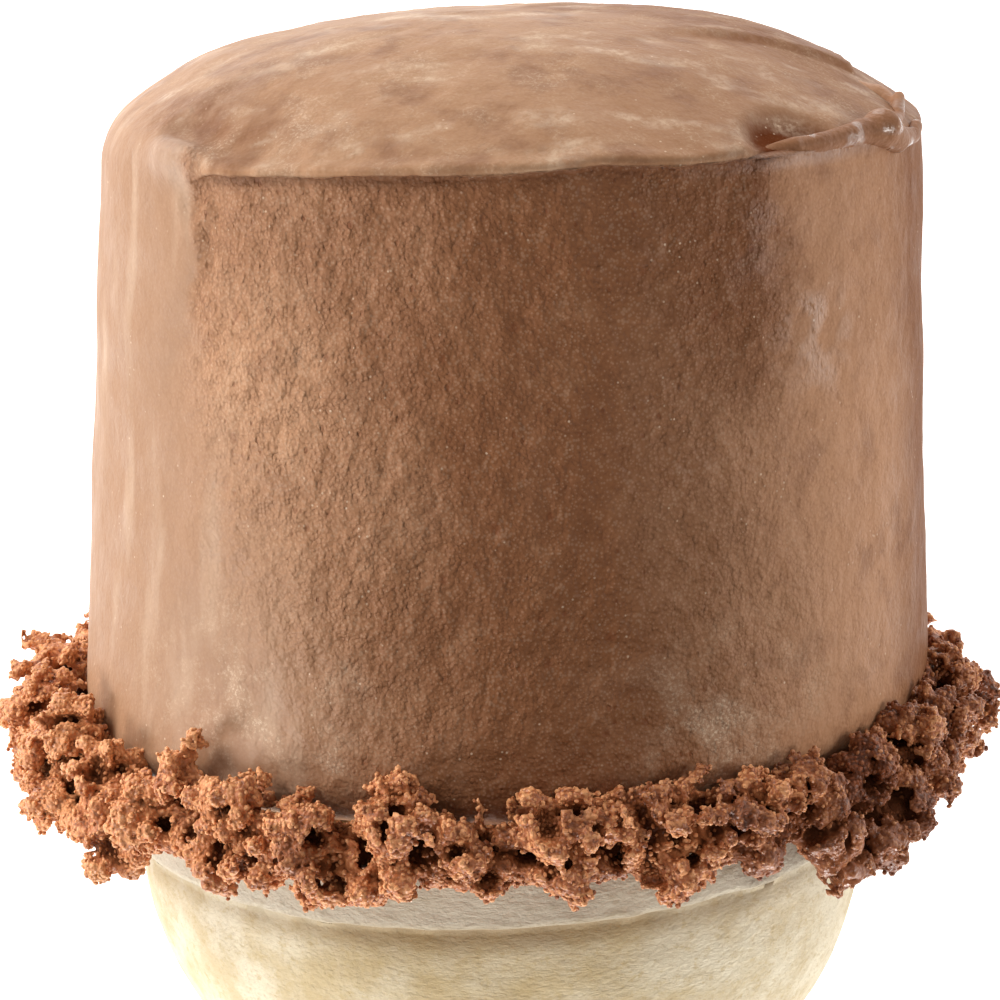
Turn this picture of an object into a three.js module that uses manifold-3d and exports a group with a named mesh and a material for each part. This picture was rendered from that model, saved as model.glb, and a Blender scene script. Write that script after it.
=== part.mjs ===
// An ice cream cone laid on its side: a moulded wafer cup on a slim stem, a leaning drum of
// chocolate ice cream pressed into it, and a collar of crumbs round the foot of the drum.
// Millimetres. Every piece is shaped upright, with the cone's axis along Z and the rim ledge of
// the wafer at z = 0, and the whole is then laid down so that the side that was -Y faces up.
import * as THREE from 'three';
import { mergeVertices } from 'three/addons/utils/BufferGeometryUtils.js';
import Module from 'manifold-3d';

const wasm = await Module();
wasm.setup();

// ---- Driving dimensions -------------------------------------------------------------------

const RIM_RADIUS = 26; // outside of the wafer's rim band
const RIM_HEIGHT = 7; // from the ledge under the band to the rim's top
const WAFER_HEIGHT = 73; // foot to rim
const WAFER_WALL = 2.2;
const DRUM_FOOT_RADIUS = 29.3; // side of the ice cream, just above the rim
const DRUM_LIP_RADIUS = 27.4; // side of the ice cream at its top edge
const DRUM_TOP = 48.3; // height of that edge above the ledge
const CROWN_RISE = 6.9; // crown of the ice cream above that edge
const COLLAR_RADIUS = 30.4; // middle of the ring of crumbs
const COLLAR_LEVEL = 6.5; // height of that middle above the ledge
const REST_DEPTH = 27; // from the cone's axis down to the surface that it lies on
const GAP = 0.3; // clear space between neighbouring pieces

// ---- Wafer sizes --------------------------------------------------------------------------

const LEDGE = 0.35; // step in under the rim band
const RIM_FLARE = 0.15; // the band leans out by this much
const EDGE_ROUND = 0.7; // rounding of the rim's top
const BOWL_ARC = 24.6; // the bowl's wall is an arc of this radius, upright at the ledge
const BOWL_DEPTH = 18; // ledge to the neck of the stem
const NECK_LENGTH = 3; // fillet between bowl and stem
const STEM_TOP_RADIUS = 16.4;
const STEM_FOOT_RADIUS = 15.2;
const FOOT_RADIUS = 16.6;
const FOOT_HEIGHT = 3.2;
const FOOT_RECESS = 1.6; // hollow under the foot
const FOOT_RIM = 2.4; // width of the ring that the foot stands on
const FLOOR_THICKNESS = 2;
const RIBS = 14; // upright ribs round the stem
const RIB_HEIGHT = 0.55;
const BAND_COUNT = 1; // level ribs round the stem
const BAND_REACH = 2 * RIB_HEIGHT; // a level rib slopes down to the stem this far from its middle
const COLUMNS_PER_RIB = 4;
const RAISED_COLUMNS = 2; // of those, the ones that stand out
const COLUMNS = RIBS * COLUMNS_PER_RIB;
const NECK_STEPS = 3;
const NECK_POWER = 2; // the neck's fillet is a parabola
const BOWL_STEPS = 5; // steps of the bowl's outside
const HOLLOW_STEPS = 3; // steps of its inside

// ---- Ice cream sizes ----------------------------------------------------------------------

const DRUM_SHIFT = 0.5; // the drum's foot sits this far off the cone's axis, towards +X
const DRUM_LEAN = 2.1; // sideways lean, from the drum's foot to its top edge
const DRUM_COLUMNS = 64;
const FOOT_TUCK = 2.8; // how far the drum narrows where it sits on the rim
const FOOT_ROUND = 3.6; // height of that narrowing
const CROWN_RADIUS = 27; // the crown falls to the height of the edge at this radius
const CROWN_POWER = 2.85; // how flat the crown is: 2 is a round cap
const CROWN_TILT = -0.77; // the crown's edge falls by this much towards +X
const MELT_BEARING = Math.PI; // the melted side faces -X
const MELT_REACH = 1.1; // half of the arc that it takes
const SHOULDER_SOFT = 3.6; // rounding of the melted top edge
const SHOULDER_SAG = 1.4; // a rounding is this much taller than it is deep
const SHOULDER_SHARP = 1; // rounding of the scraped top edge
const LIP_OVERHANG = 0.8; // the scraped edge hangs out past the side
const LIP_THICKNESS = 1.6;
const LIP_BEARING = -1.4; // middle of the scraped edge, which faces -Y
const LIP_REACH = 1.25; // half of the arc that the scraped edge takes
const LIP_WIDEST = 0.125; // share of the lip's thickness that its widest line lies down from its top
const LIP_SCALLOPS = 9; // waves in the lip's edge, counted round the whole drum
const SCALLOP_SHARE = 0.25; // share of the overhang that they take
const SCALLOP_START = 1;
const SMEAR = 0.3; // unevenness of the side and the crown
const WIDE_SMEAR = { count: 2, twist: 0.09, start: 0.7, share: 0.6 };
const NARROW_SMEAR = { count: 5, twist: -0.13, start: 2.1, share: 0.4 };
const HOLLOW_DEPTH = 0.8; // shallow hollow that the scraper left in the crown
const HOLLOW_RADIUS = 4.5;
const HOLLOW_PLACE = new THREE.Vector2(18, -19);
const CURL_BEARING = -0.5; // blob of melted ice cream at the corner
const CURL_RADIUS = 1.9;
const CURL_STRETCH = [0.8, 1, 1.05]; // outwards, along the lip and upwards
const CURL_INSET = 0.6; // shares of the curl's radius: how far its middle is set in from the lip
const CURL_DROP = 0.7; // and how far it hangs below the edge
const HORN_RADIUS = 0.45; // the horn's foot, its length and its place on the curl are shares too
const HORN_LENGTH = 1.2;
const HORN_PLACE = new THREE.Vector2(0.4, 0.7);
const HORN_SIDES = 7;
const PLUG_BELLY = 2; // the plug inside the bowl ends in a shallow dome
const PLUG_RING_REACH = 0.6; // the dome has one ring, at this share of its radius
const PLUG_RING_DEPTH = 0.8; // and of its depth
const ROUND_STEPS = 3; // steps of the quarter round at the drum's foot
const SIDE_STEPS = 4;
const CROWN_SHARES = [1, 0.93, 0.8, 0.6, 0.35]; // rings of the crown, closer at the shoulder

// ---- Crumb sizes --------------------------------------------------------------------------

const CLUMP_COUNT = 22;
const CLUMP_RADIUS = 3.8;
const CLUMP_STRETCH = [0.9, 1.1, 1]; // across the ring, along it and upwards
const CLUMP_SPREAD = 0.22; // clumps differ in size by this share
const NODULES_PER_CLUMP = 5;
const NODULE_RADIUS = 1.6;
const NODULE_SPREAD = 0.3;
const NODULE_SET = 0.92; // nodules are centred at this share of the clump's size
const NODULE_SWING = 1.1; // and lie within this share of a half turn round it
const NODULE_PITCH = 0.95; // and this one up and down
const LUMP_DETAIL = 1; // a clump is an icosahedron split once, a nodule a bare one
const LUMP_ROUGHNESS = 0.16; // corners are pushed in or out by this share
const LEVEL_SPREAD = 1.5; // clumps sit higher or lower, within this
const RING_SPREAD = 0.6; // and further in or out
const BEARING_SPREAD = 0.3; // and off their even places, as a share of the step
const CORE_RADIUS = 3.2; // ring that all the clumps are pressed into
const CORE_SIDES = 6;
const CORE_STEPS = 32;
const CRUMB_SEED = 4271;
const ROOM_SIDES = 40; // sides of the clear space that the collar leaves inside

// ---- Worked-out places --------------------------------------------------------------------

const FOOT_LEVEL = RIM_HEIGHT - WAFER_HEIGHT;
const NECK_LEVEL = -BOWL_DEPTH;
const STEM_LEVEL = NECK_LEVEL - NECK_LENGTH;
const DRUM_FOOT = RIM_HEIGHT + GAP;
const DRUM_HEIGHT = DRUM_TOP - DRUM_FOOT;
const DRUM_MIDDLE_TOP = new THREE.Vector2(DRUM_SHIFT + DRUM_LEAN, 0);
const FAR = 200; // larger than anything in the part
const WELD = 1e-4; // corners closer than this are one corner
const TURN = 2 * Math.PI;
const HALF = 0.5; // middle of the range of a random number

// ---- Helpers ------------------------------------------------------------------------------

/** Eases from 0 to 1 as x goes from start to end. */
function ease(start, end, x) {
  return THREE.MathUtils.smoothstep(x, start, end);
}

/** 1 at the bearing, falling to 0 at reach radians to either side. */
function facing(theta, bearing, reach) {
  const turn = Math.atan2(Math.sin(theta - bearing), Math.cos(theta - bearing));
  return 1 - ease(0, 1, Math.abs(turn) / reach);
}

/** Random numbers from 0 to 1 that are the same on every run. */
function seededRandom(seed) {
  const factor = 1664525;
  const step = 1013904223;
  const range = 2 ** 32;
  let state = seed;
  return () => {
    state = (state * factor + step) % range;
    return state / range;
  };
}

/** Angles along a quarter round, from 0 to a right angle. */
function quarterRound() {
  return Array.from({ length: ROUND_STEPS + 1 }, (_, step) => {
    return (step / ROUND_STEPS) * (Math.PI / 2);
  });
}

/** A point at a bearing and distance from the axis. */
function onRing(theta, radius, z) {
  return new THREE.Vector3(radius * Math.cos(theta), radius * Math.sin(theta), z);
}

/** Joins rings of points, listed from the bottom pole to the top pole, into a closed skin. */
function skinOfRings(bottomPole, rings, topPole) {
  const sides = rings[0].length;
  const points = [bottomPole, ...rings.flat(), topPole];
  const last = points.length - 1;
  const index = [];
  const at = (ring, side) => 1 + ring * sides + (side % sides);
  for (let side = 0; side < sides; side += 1) {
    index.push(0, at(0, side + 1), at(0, side));
    index.push(last, at(rings.length - 1, side), at(rings.length - 1, side + 1));
    for (let ring = 0; ring < rings.length - 1; ring += 1) {
      const [a, b] = [at(ring, side), at(ring, side + 1)];
      const [c, d] = [at(ring + 1, side), at(ring + 1, side + 1)];
      index.push(a, b, d, a, d, c);
    }
  }
  const geometry = new THREE.BufferGeometry().setFromPoints(points);
  geometry.setIndex(index);
  return geometry;
}

/** Turns a closed three.js geometry into a solid that can be joined and cut. */
function solidOf(geometry) {
  const bare = geometry.clone();
  bare.deleteAttribute('normal');
  bare.deleteAttribute('uv');
  const merged = mergeVertices(bare, WELD);
  return new wasm.Manifold(new wasm.Mesh({
    numProp: 3,
    vertProperties: new Float32Array(merged.attributes.position.array),
    triVerts: new Uint32Array(merged.index.array),
  }));
}

/** Turns a solid back into a three.js geometry. */
function geometryOf(solid) {
  const mesh = solid.getMesh();
  const geometry = new THREE.BufferGeometry();
  geometry.setAttribute('position', new THREE.BufferAttribute(mesh.vertProperties, 3));
  geometry.setIndex(new THREE.BufferAttribute(mesh.triVerts, 1));
  geometry.computeVertexNormals();
  return geometry;
}

/** The largest piece of a solid: scraps are dropped and sealed pockets are filled. */
function mainPiece(solid) {
  const pieces = solid.decompose();
  return pieces.reduce((best, piece) => (piece.volume() > best.volume() ? piece : best));
}

/** Everything that lies beyond the surface that the part rests on. */
function groundSolid() {
  const box = new THREE.BoxGeometry(FAR, FAR, FAR);
  box.translate(0, REST_DEPTH + FAR / 2, 0);
  return solidOf(box);
}

// ---- Wafer --------------------------------------------------------------------------------

/** Outside radius of the bowl at a height below the ledge. */
function bowlRadius(z) {
  return RIM_RADIUS - LEDGE - BOWL_ARC + Math.sqrt(BOWL_ARC ** 2 - z ** 2);
}

/** Outside radius of the stem between its ribs. */
function stemRadius(z) {
  return THREE.MathUtils.mapLinear(z, FOOT_LEVEL, STEM_LEVEL, STEM_FOOT_RADIUS, STEM_TOP_RADIUS);
}

/** A level ring of points round the axis. */
function levelRing(radius, z) {
  return Array.from({ length: COLUMNS }, (_, column) => {
    const theta = (column / COLUMNS) * TURN;
    return onRing(theta, radius, z);
  });
}

/** A ring of points round the stem, where some columns of each rib stand out. */
function ribbedRing(radius, z) {
  return levelRing(1, z).map((point, column) => {
    const stand = column % COLUMNS_PER_RIB < RAISED_COLUMNS ? RIB_HEIGHT : 0;
    return new THREE.Vector3(point.x * (radius + stand), point.y * (radius + stand), z);
  });
}

/** Rings of the stem's skin, from the foot up, with level ribs across the upright ones. */
function stemRings() {
  const bottom = FOOT_LEVEL + FOOT_HEIGHT + RIB_HEIGHT;
  const top = STEM_LEVEL - RIB_HEIGHT;
  const rings = [ribbedRing(stemRadius(bottom), bottom)];
  for (let band = 1; band <= BAND_COUNT; band += 1) {
    const middle = THREE.MathUtils.lerp(bottom, top, band / (BAND_COUNT + 1));
    const under = middle - BAND_REACH;
    const over = middle + BAND_REACH;
    rings.push(ribbedRing(stemRadius(under), under));
    rings.push(levelRing(stemRadius(middle) + RIB_HEIGHT, middle - RIB_HEIGHT));
    rings.push(levelRing(stemRadius(middle) + RIB_HEIGHT, middle + RIB_HEIGHT));
    rings.push(ribbedRing(stemRadius(over), over));
  }
  rings.push(ribbedRing(stemRadius(top), top));
  return rings;
}

/** The wafer: recessed foot, ribbed stem, bowl and rim band outside, one open hollow inside. */
function waferCone() {
  const recessTop = FOOT_LEVEL + FOOT_RECESS;
  const footInner = FOOT_RADIUS - FOOT_RIM;
  const rings = [
    levelRing(footInner - FOOT_RECESS, recessTop),
    levelRing(footInner, FOOT_LEVEL),
    levelRing(FOOT_RADIUS - EDGE_ROUND, FOOT_LEVEL),
    levelRing(FOOT_RADIUS, FOOT_LEVEL + EDGE_ROUND),
    levelRing(FOOT_RADIUS, FOOT_LEVEL + FOOT_HEIGHT - EDGE_ROUND),
    ...stemRings(),
    levelRing(STEM_TOP_RADIUS + RIB_HEIGHT, STEM_LEVEL),
  ];
  for (let step = 1; step < NECK_STEPS; step += 1) {
    const share = step / NECK_STEPS;
    const z = THREE.MathUtils.lerp(STEM_LEVEL, NECK_LEVEL, share);
    const radius = THREE.MathUtils.lerp(
      STEM_TOP_RADIUS + RIB_HEIGHT,
      bowlRadius(NECK_LEVEL),
      share ** NECK_POWER,
    );
    rings.push(levelRing(radius, z));
  }
  for (let step = 0; step <= BOWL_STEPS; step += 1) {
    const z = THREE.MathUtils.lerp(NECK_LEVEL, 0, step / BOWL_STEPS);
    rings.push(levelRing(bowlRadius(z), z));
  }
  rings.push(levelRing(RIM_RADIUS - RIM_FLARE, LEDGE / 2));
  rings.push(levelRing(RIM_RADIUS, RIM_HEIGHT - EDGE_ROUND));
  rings.push(levelRing(RIM_RADIUS - EDGE_ROUND, RIM_HEIGHT));
  rings.push(levelRing(RIM_RADIUS - WAFER_WALL + EDGE_ROUND, RIM_HEIGHT));
  for (const z of hollowLevels()) {
    rings.push(levelRing(hollowRadius(z), z));
  }
  const hollowFloor = recessTop + FLOOR_THICKNESS;
  return skinOfRings(
    new THREE.Vector3(0, 0, recessTop),
    rings,
    new THREE.Vector3(0, 0, hollowFloor),
  );
}

/** Heights of the rings inside the bowl, from the ledge down to its neck. */
function bowlLevels() {
  return Array.from({ length: HOLLOW_STEPS + 1 }, (_, step) => {
    return THREE.MathUtils.lerp(0, NECK_LEVEL, step / HOLLOW_STEPS);
  });
}

/** Heights of the rings inside the wafer, from the rim down to the floor of the stem. */
function hollowLevels() {
  const floor = FOOT_LEVEL + FOOT_RECESS + FLOOR_THICKNESS;
  return [RIM_HEIGHT - EDGE_ROUND, ...bowlLevels(), STEM_LEVEL, floor];
}

/** Inside radius of the wafer at a height. */
function hollowRadius(z) {
  if (z >= 0) {
    return RIM_RADIUS - LEDGE - WAFER_WALL;
  }
  return (z >= NECK_LEVEL ? bowlRadius(z) : stemRadius(z)) - WAFER_WALL;
}

// ---- Ice cream ----------------------------------------------------------------------------

/** A wave that runs round the drum and twists with its height. */
function wave({ count, twist, start, share }, theta, z) {
  return share * Math.sin(count * theta + twist * z + start);
}

/** Slow unevenness of the ice cream, from -1 to 1. */
function unevenness(theta, z) {
  return wave(WIDE_SMEAR, theta, z) + wave(NARROW_SMEAR, theta, z);
}

/** Share of the way up the drum's side. */
function climb(z) {
  return THREE.MathUtils.clamp((z - DRUM_FOOT) / DRUM_HEIGHT, 0, 1);
}

/** Radius of the drum's side at a height. */
function drumRadius(z) {
  return THREE.MathUtils.lerp(DRUM_FOOT_RADIUS, DRUM_LIP_RADIUS, climb(z));
}

/** Height of the crown on a bearing, at a distance from the drum's middle. */
function crownLevel(theta, reach) {
  const share = reach / CROWN_RADIUS;
  const tilt = CROWN_TILT * Math.cos(theta) + SMEAR * unevenness(theta, 0);
  return DRUM_TOP + tilt * share + CROWN_RISE * (1 - share ** CROWN_POWER);
}

/** Height of the crown's edge on a bearing, where the rounding of the shoulder begins. */
function edgeLevel(theta) {
  return crownLevel(theta, DRUM_LIP_RADIUS - shoulderRound(theta));
}

/** Rounding of the top edge on a bearing: soft where it melted, sharp where it was scraped. */
function shoulderRound(theta) {
  const melt = facing(theta, MELT_BEARING, MELT_REACH);
  return THREE.MathUtils.lerp(SHOULDER_SHARP, SHOULDER_SOFT, melt);
}

/** How far the scraped edge hangs out on a bearing. */
function lipOverhang(theta) {
  const ripple = Math.sin(LIP_SCALLOPS * theta + SCALLOP_START);
  const scallop = 1 - SCALLOP_SHARE + SCALLOP_SHARE * ripple;
  return LIP_OVERHANG * scallop * facing(theta, LIP_BEARING, LIP_REACH);
}

/** A ring with as many columns as the drum, from a function of the bearing to a point. */
function drumRing(pointAt) {
  return Array.from({ length: DRUM_COLUMNS }, (_, column) => {
    return pointAt((column / DRUM_COLUMNS) * TURN);
  });
}

/** A ring of the drum's side, drawn in by an inset, at a height that may change round it. */
function sideRing(insetAt, heightAt) {
  return drumRing((theta) => {
    const z = heightAt(theta);
    const radius = drumRadius(z) - insetAt(theta) + SMEAR * unevenness(theta, z);
    const middle = DRUM_SHIFT + DRUM_LEAN * climb(z);
    return new THREE.Vector3(middle + radius * Math.cos(theta), radius * Math.sin(theta), z);
  });
}

/** A level ring of the plug that fills the bowl. */
function plugRing(radius, z) {
  return drumRing((theta) => onRing(theta, radius, z));
}

/** A ring of the crown, at a share of the way out from the drum's middle to its shoulder. */
function crownRing(share) {
  return drumRing((theta) => {
    const reach = share * (DRUM_LIP_RADIUS - shoulderRound(theta));
    const place = DRUM_MIDDLE_TOP.clone();
    place.x += reach * Math.cos(theta);
    place.y += reach * Math.sin(theta);
    const fromHollow = place.distanceTo(HOLLOW_PLACE) / HOLLOW_RADIUS;
    const dip = HOLLOW_DEPTH * (1 - ease(0, 1, fromHollow));
    return new THREE.Vector3(place.x, place.y, crownLevel(theta, reach) - dip);
  });
}

/** Rings of the drum's foot, which narrows in a quarter round to where it sits on the rim. */
function footRings() {
  return quarterRound().map((angle) => {
    const inset = FOOT_TUCK * (1 - Math.sin(angle));
    const z = DRUM_FOOT + FOOT_ROUND * (1 - Math.cos(angle));
    return sideRing(() => inset, () => z);
  });
}

/** Rings of the top edge: the side under the lip, the lip itself and the rounding above it. */
function edgeRings() {
  const drop = (theta) => SHOULDER_SAG * shoulderRound(theta);
  const halfway = Math.PI / 4;
  return [
    sideRing(() => 0, (theta) => edgeLevel(theta) - drop(theta) - LIP_THICKNESS),
    sideRing(
      (theta) => -lipOverhang(theta),
      (theta) => edgeLevel(theta) - drop(theta) - LIP_THICKNESS * LIP_WIDEST,
    ),
    sideRing(
      (theta) => shoulderRound(theta) * (1 - Math.cos(halfway)) - lipOverhang(theta),
      (theta) => edgeLevel(theta) - drop(theta) * (1 - Math.sin(halfway)),
    ),
  ];
}

/** The drum of ice cream with its crown, lip and the plug that fills the wafer's bowl. */
function drumSkin() {
  const plugRadius = (z) => hollowRadius(z) - GAP;
  const [, shallow, bottom] = bowlLevels();
  const sideBottom = DRUM_FOOT + FOOT_ROUND;
  const sideTop = DRUM_TOP - SHOULDER_SOFT - 2 * LIP_THICKNESS;
  const rings = [
    plugRing(plugRadius(bottom) * PLUG_RING_REACH, bottom - PLUG_BELLY * PLUG_RING_DEPTH),
    plugRing(plugRadius(bottom), bottom),
    plugRing(plugRadius(shallow), shallow),
    plugRing(plugRadius(0), 0),
    plugRing(plugRadius(RIM_HEIGHT), RIM_HEIGHT - EDGE_ROUND),
    plugRing(RIM_RADIUS - WAFER_WALL, DRUM_FOOT),
    ...footRings(),
    ...Array.from({ length: SIDE_STEPS }, (_, step) => {
      const share = (step + 1) / SIDE_STEPS;
      return sideRing(() => 0, () => THREE.MathUtils.lerp(sideBottom, sideTop, share));
    }),
    ...edgeRings(),
    ...CROWN_SHARES.map((share) => crownRing(share)),
  ];
  return skinOfRings(
    new THREE.Vector3(0, 0, bottom - PLUG_BELLY),
    rings,
    new THREE.Vector3(DRUM_MIDDLE_TOP.x, 0, DRUM_TOP + CROWN_RISE),
  );
}

/** The melted blob with its upturned horn, at the corner where the scraper left the drum. */
function cornerCurl() {
  const out = DRUM_LIP_RADIUS - CURL_RADIUS * CURL_INSET;
  const blob = new THREE.IcosahedronGeometry(CURL_RADIUS, LUMP_DETAIL);
  blob.scale(...CURL_STRETCH);
  blob.translate(0, 0, -CURL_RADIUS * CURL_DROP);
  const hornLength = CURL_RADIUS * HORN_LENGTH;
  const horn = new THREE.ConeGeometry(CURL_RADIUS * HORN_RADIUS, hornLength, HORN_SIDES);
  horn.rotateX(Math.PI / 2);
  horn.translate(CURL_RADIUS * HORN_PLACE.x, CURL_RADIUS * HORN_PLACE.y, 0);
  for (const piece of [blob, horn]) {
    piece.rotateZ(CURL_BEARING);
    piece.translate(
      DRUM_MIDDLE_TOP.x + out * Math.cos(CURL_BEARING),
      out * Math.sin(CURL_BEARING),
      edgeLevel(CURL_BEARING),
    );
  }
  return solidOf(blob).add(solidOf(horn));
}

// ---- Crumb collar -------------------------------------------------------------------------

/** A lump with few sides: an icosahedron pushed out of true, turned at random and moved. */
function lump(random, radius, detail, centre, stretch) {
  const geometry = mergeVertices(bareIcosahedron(radius, detail), WELD);
  const position = geometry.attributes.position;
  for (let index = 0; index < position.count; index += 1) {
    const swell = 1 + LUMP_ROUGHNESS * (2 * random() - 1);
    position.setXYZ(
      index,
      position.getX(index) * swell,
      position.getY(index) * swell,
      position.getZ(index) * swell,
    );
  }
  geometry.rotateX(random() * TURN);
  geometry.rotateY(random() * TURN);
  geometry.scale(...stretch);
  geometry.rotateZ(Math.atan2(centre.y, centre.x));
  geometry.translate(centre.x, centre.y, centre.z);
  return solidOf(geometry);
}

/** An icosahedron with its position attribute alone. */
function bareIcosahedron(radius, detail) {
  const geometry = new THREE.IcosahedronGeometry(radius, detail);
  geometry.deleteAttribute('normal');
  geometry.deleteAttribute('uv');
  return geometry;
}

/** A direction that leans away from the cone's axis, for a nodule on a clump. */
function outwards(random, theta) {
  const swing = (random() - HALF) * Math.PI * NODULE_SWING;
  const pitch = (random() - HALF) * Math.PI * NODULE_PITCH;
  const level = Math.cos(pitch);
  return new THREE.Vector3(
    Math.cos(theta + swing) * level,
    Math.sin(theta + swing) * level,
    Math.sin(pitch),
  );
}

/** One clump: a lump in the ring with nodules pressed into its outer side. */
function clump(random, theta) {
  const size = CLUMP_RADIUS * (1 + CLUMP_SPREAD * (2 * random() - 1));
  const level = COLLAR_LEVEL + LEVEL_SPREAD * (random() - HALF);
  const centre = onRing(theta, COLLAR_RADIUS + RING_SPREAD * (random() - HALF), level);
  const lumps = [lump(random, size, LUMP_DETAIL, centre, CLUMP_STRETCH)];
  for (let count = 0; count < NODULES_PER_CLUMP; count += 1) {
    const radius = NODULE_RADIUS * (1 + NODULE_SPREAD * (2 * random() - 1));
    const place = outwards(random, theta).multiplyScalar(size * NODULE_SET).add(centre);
    lumps.push(lump(random, radius, 0, place, [1, 1, 1]));
  }
  return lumps;
}

/** The whole ring of crumbs, clear of the ice cream and the wafer. */
function crumbCollar() {
  const random = seededRandom(CRUMB_SEED);
  const ring = new THREE.TorusGeometry(COLLAR_RADIUS, CORE_RADIUS, CORE_SIDES, CORE_STEPS);
  ring.translate(0, 0, COLLAR_LEVEL);
  const lumps = [solidOf(ring)];
  for (let count = 0; count < CLUMP_COUNT; count += 1) {
    const theta = ((count + BEARING_SPREAD * random()) / CLUMP_COUNT) * TURN;
    lumps.push(...clump(random, theta));
  }
  return lumps.reduce((whole, piece) => whole.add(piece)).subtract(heartRoom());
}

/** Clear space round the axis that the rim and the drum's foot take up, with their gap. */
function heartRoom() {
  const spare = GAP + SMEAR + DRUM_SHIFT;
  const profile = [
    new THREE.Vector2(0, -WAFER_HEIGHT / 2),
    new THREE.Vector2(RIM_RADIUS + GAP, -WAFER_HEIGHT / 2),
    new THREE.Vector2(RIM_RADIUS + GAP, RIM_HEIGHT - GAP),
    ...quarterRound().map((angle) => {
      return new THREE.Vector2(
        DRUM_FOOT_RADIUS - FOOT_TUCK * (1 - Math.sin(angle)) + spare,
        DRUM_FOOT - 2 * GAP + FOOT_ROUND * (1 - Math.cos(angle)),
      );
    }),
    new THREE.Vector2(DRUM_FOOT_RADIUS + spare, WAFER_HEIGHT),
    new THREE.Vector2(0, WAFER_HEIGHT),
  ];
  const cornerReach = 1 / Math.cos(Math.PI / ROOM_SIDES); // so that the flats clear the round
  const room = new THREE.LatheGeometry(
    profile.map((point) => new THREE.Vector2(point.x * cornerReach, point.y)),
    ROOM_SIDES,
  );
  room.rotateX(Math.PI / 2);
  return solidOf(room);
}

// ---- Materials ----------------------------------------------------------------------------

const chocolateIce = new THREE.MeshStandardMaterial({ color: 0xb98a6b, roughness: 0.55 });
const bakedCrumb = new THREE.MeshStandardMaterial({ color: 0x8a5636, roughness: 0.7 });
const wafer = new THREE.MeshStandardMaterial({ color: 0xe6d5b2, roughness: 0.85 });

// ---- The whole ----------------------------------------------------------------------------

/** A named mesh of a solid, cut flat where it rests. */
function restingMesh(name, solid, material) {
  const mesh = new THREE.Mesh(geometryOf(mainPiece(solid.subtract(groundSolid()))), material);
  mesh.name = name;
  return mesh;
}

const cone = new THREE.Group();
cone.add(restingMesh('ice_cream', solidOf(drumSkin()).add(cornerCurl()), chocolateIce));
cone.add(restingMesh('crumb_collar', crumbCollar(), bakedCrumb));
cone.add(restingMesh('wafer_cone', solidOf(waferCone()), wafer));

// Laid down: the axis runs along Y, the shown side faces up and the flat lies at z = 0.
cone.rotation.x = -Math.PI / 2;
cone.position.z = REST_DEPTH;
cone.updateMatrixWorld(true);

// The origin is under the middle of the part.
const extent = new THREE.Box3().setFromObject(cone, true);
const centre = extent.getCenter(new THREE.Vector3());
cone.position.x = -centre.x;
cone.position.y = -centre.y;
cone.updateMatrixWorld(true);

export default cone;
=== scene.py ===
"""A chocolate ice cream cone lying on its back: a wafer cup, a drum of ice cream and a collar of crumbs.

Every piece is shaped upright in millimetres, with the cone's axis along Z and the ledge under the wafer's
rim at z = 0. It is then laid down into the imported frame, in metres, with the side that was -Y facing up.
"""
from __future__ import annotations

import logging
import math
from dataclasses import dataclass, field
from enum import Enum
from itertools import combinations, product
from typing import Any, ClassVar

import bpy
import numpy as np
from mathutils import Matrix, Vector


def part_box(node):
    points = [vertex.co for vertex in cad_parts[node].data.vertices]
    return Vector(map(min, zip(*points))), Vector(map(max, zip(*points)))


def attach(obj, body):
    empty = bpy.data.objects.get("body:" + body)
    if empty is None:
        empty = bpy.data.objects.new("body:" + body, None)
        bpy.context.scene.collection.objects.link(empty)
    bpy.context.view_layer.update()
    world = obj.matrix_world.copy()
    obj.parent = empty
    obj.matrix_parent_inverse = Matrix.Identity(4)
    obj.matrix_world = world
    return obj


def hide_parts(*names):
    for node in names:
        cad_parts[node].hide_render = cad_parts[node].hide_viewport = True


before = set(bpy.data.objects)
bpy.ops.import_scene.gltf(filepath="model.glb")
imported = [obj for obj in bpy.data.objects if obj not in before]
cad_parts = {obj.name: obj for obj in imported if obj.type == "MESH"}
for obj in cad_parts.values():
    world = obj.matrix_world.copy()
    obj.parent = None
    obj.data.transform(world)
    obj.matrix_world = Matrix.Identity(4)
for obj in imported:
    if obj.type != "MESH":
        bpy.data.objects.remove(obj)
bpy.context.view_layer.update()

log = logging.getLogger("ice_cream_cone")
Array = np.ndarray
Pair = tuple[float, float]
Triple = tuple[float, float, float]
Colour = tuple[float, float, float, float]
TURN = 2.0 * math.pi
MM = 0.001
FOOT_TO_LEDGE = 66.0
AXIS_HEIGHT = 27.0
NOISE_SEED = 17


# ---- Place in the frame ---------------------------------------------------------------------------


@dataclass(frozen=True)
class Rest:
    """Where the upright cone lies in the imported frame, in metres."""

    axis_x: float
    ledge_y: float
    axis_height: float

    def lay(self, points: Array) -> Array:
        """Lays upright points down.

        The upright x stays x, the upright z runs along the frame's Y and the upright -y faces up.

        Args:
            points: upright points in millimetres, one to a row.

        Returns:
            The points in the frame, in metres.
        """
        across, depth, level = np.moveaxis(np.asarray(points, dtype=np.float64) * MM, -1, 0)
        return np.stack(
            [self.axis_x + across, self.ledge_y + level, self.axis_height - depth], axis=-1
        )

    def floor_depth(self) -> float:
        """How far behind the axis the floor lies, in upright millimetres."""
        return self.axis_height / MM

    def turn(self, direction: Triple) -> Vector:
        """The frame's direction for an upright direction."""
        across, depth, level = direction
        return Vector((across, level, -depth))


# ---- Noise ----------------------------------------------------------------------------------------


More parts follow.
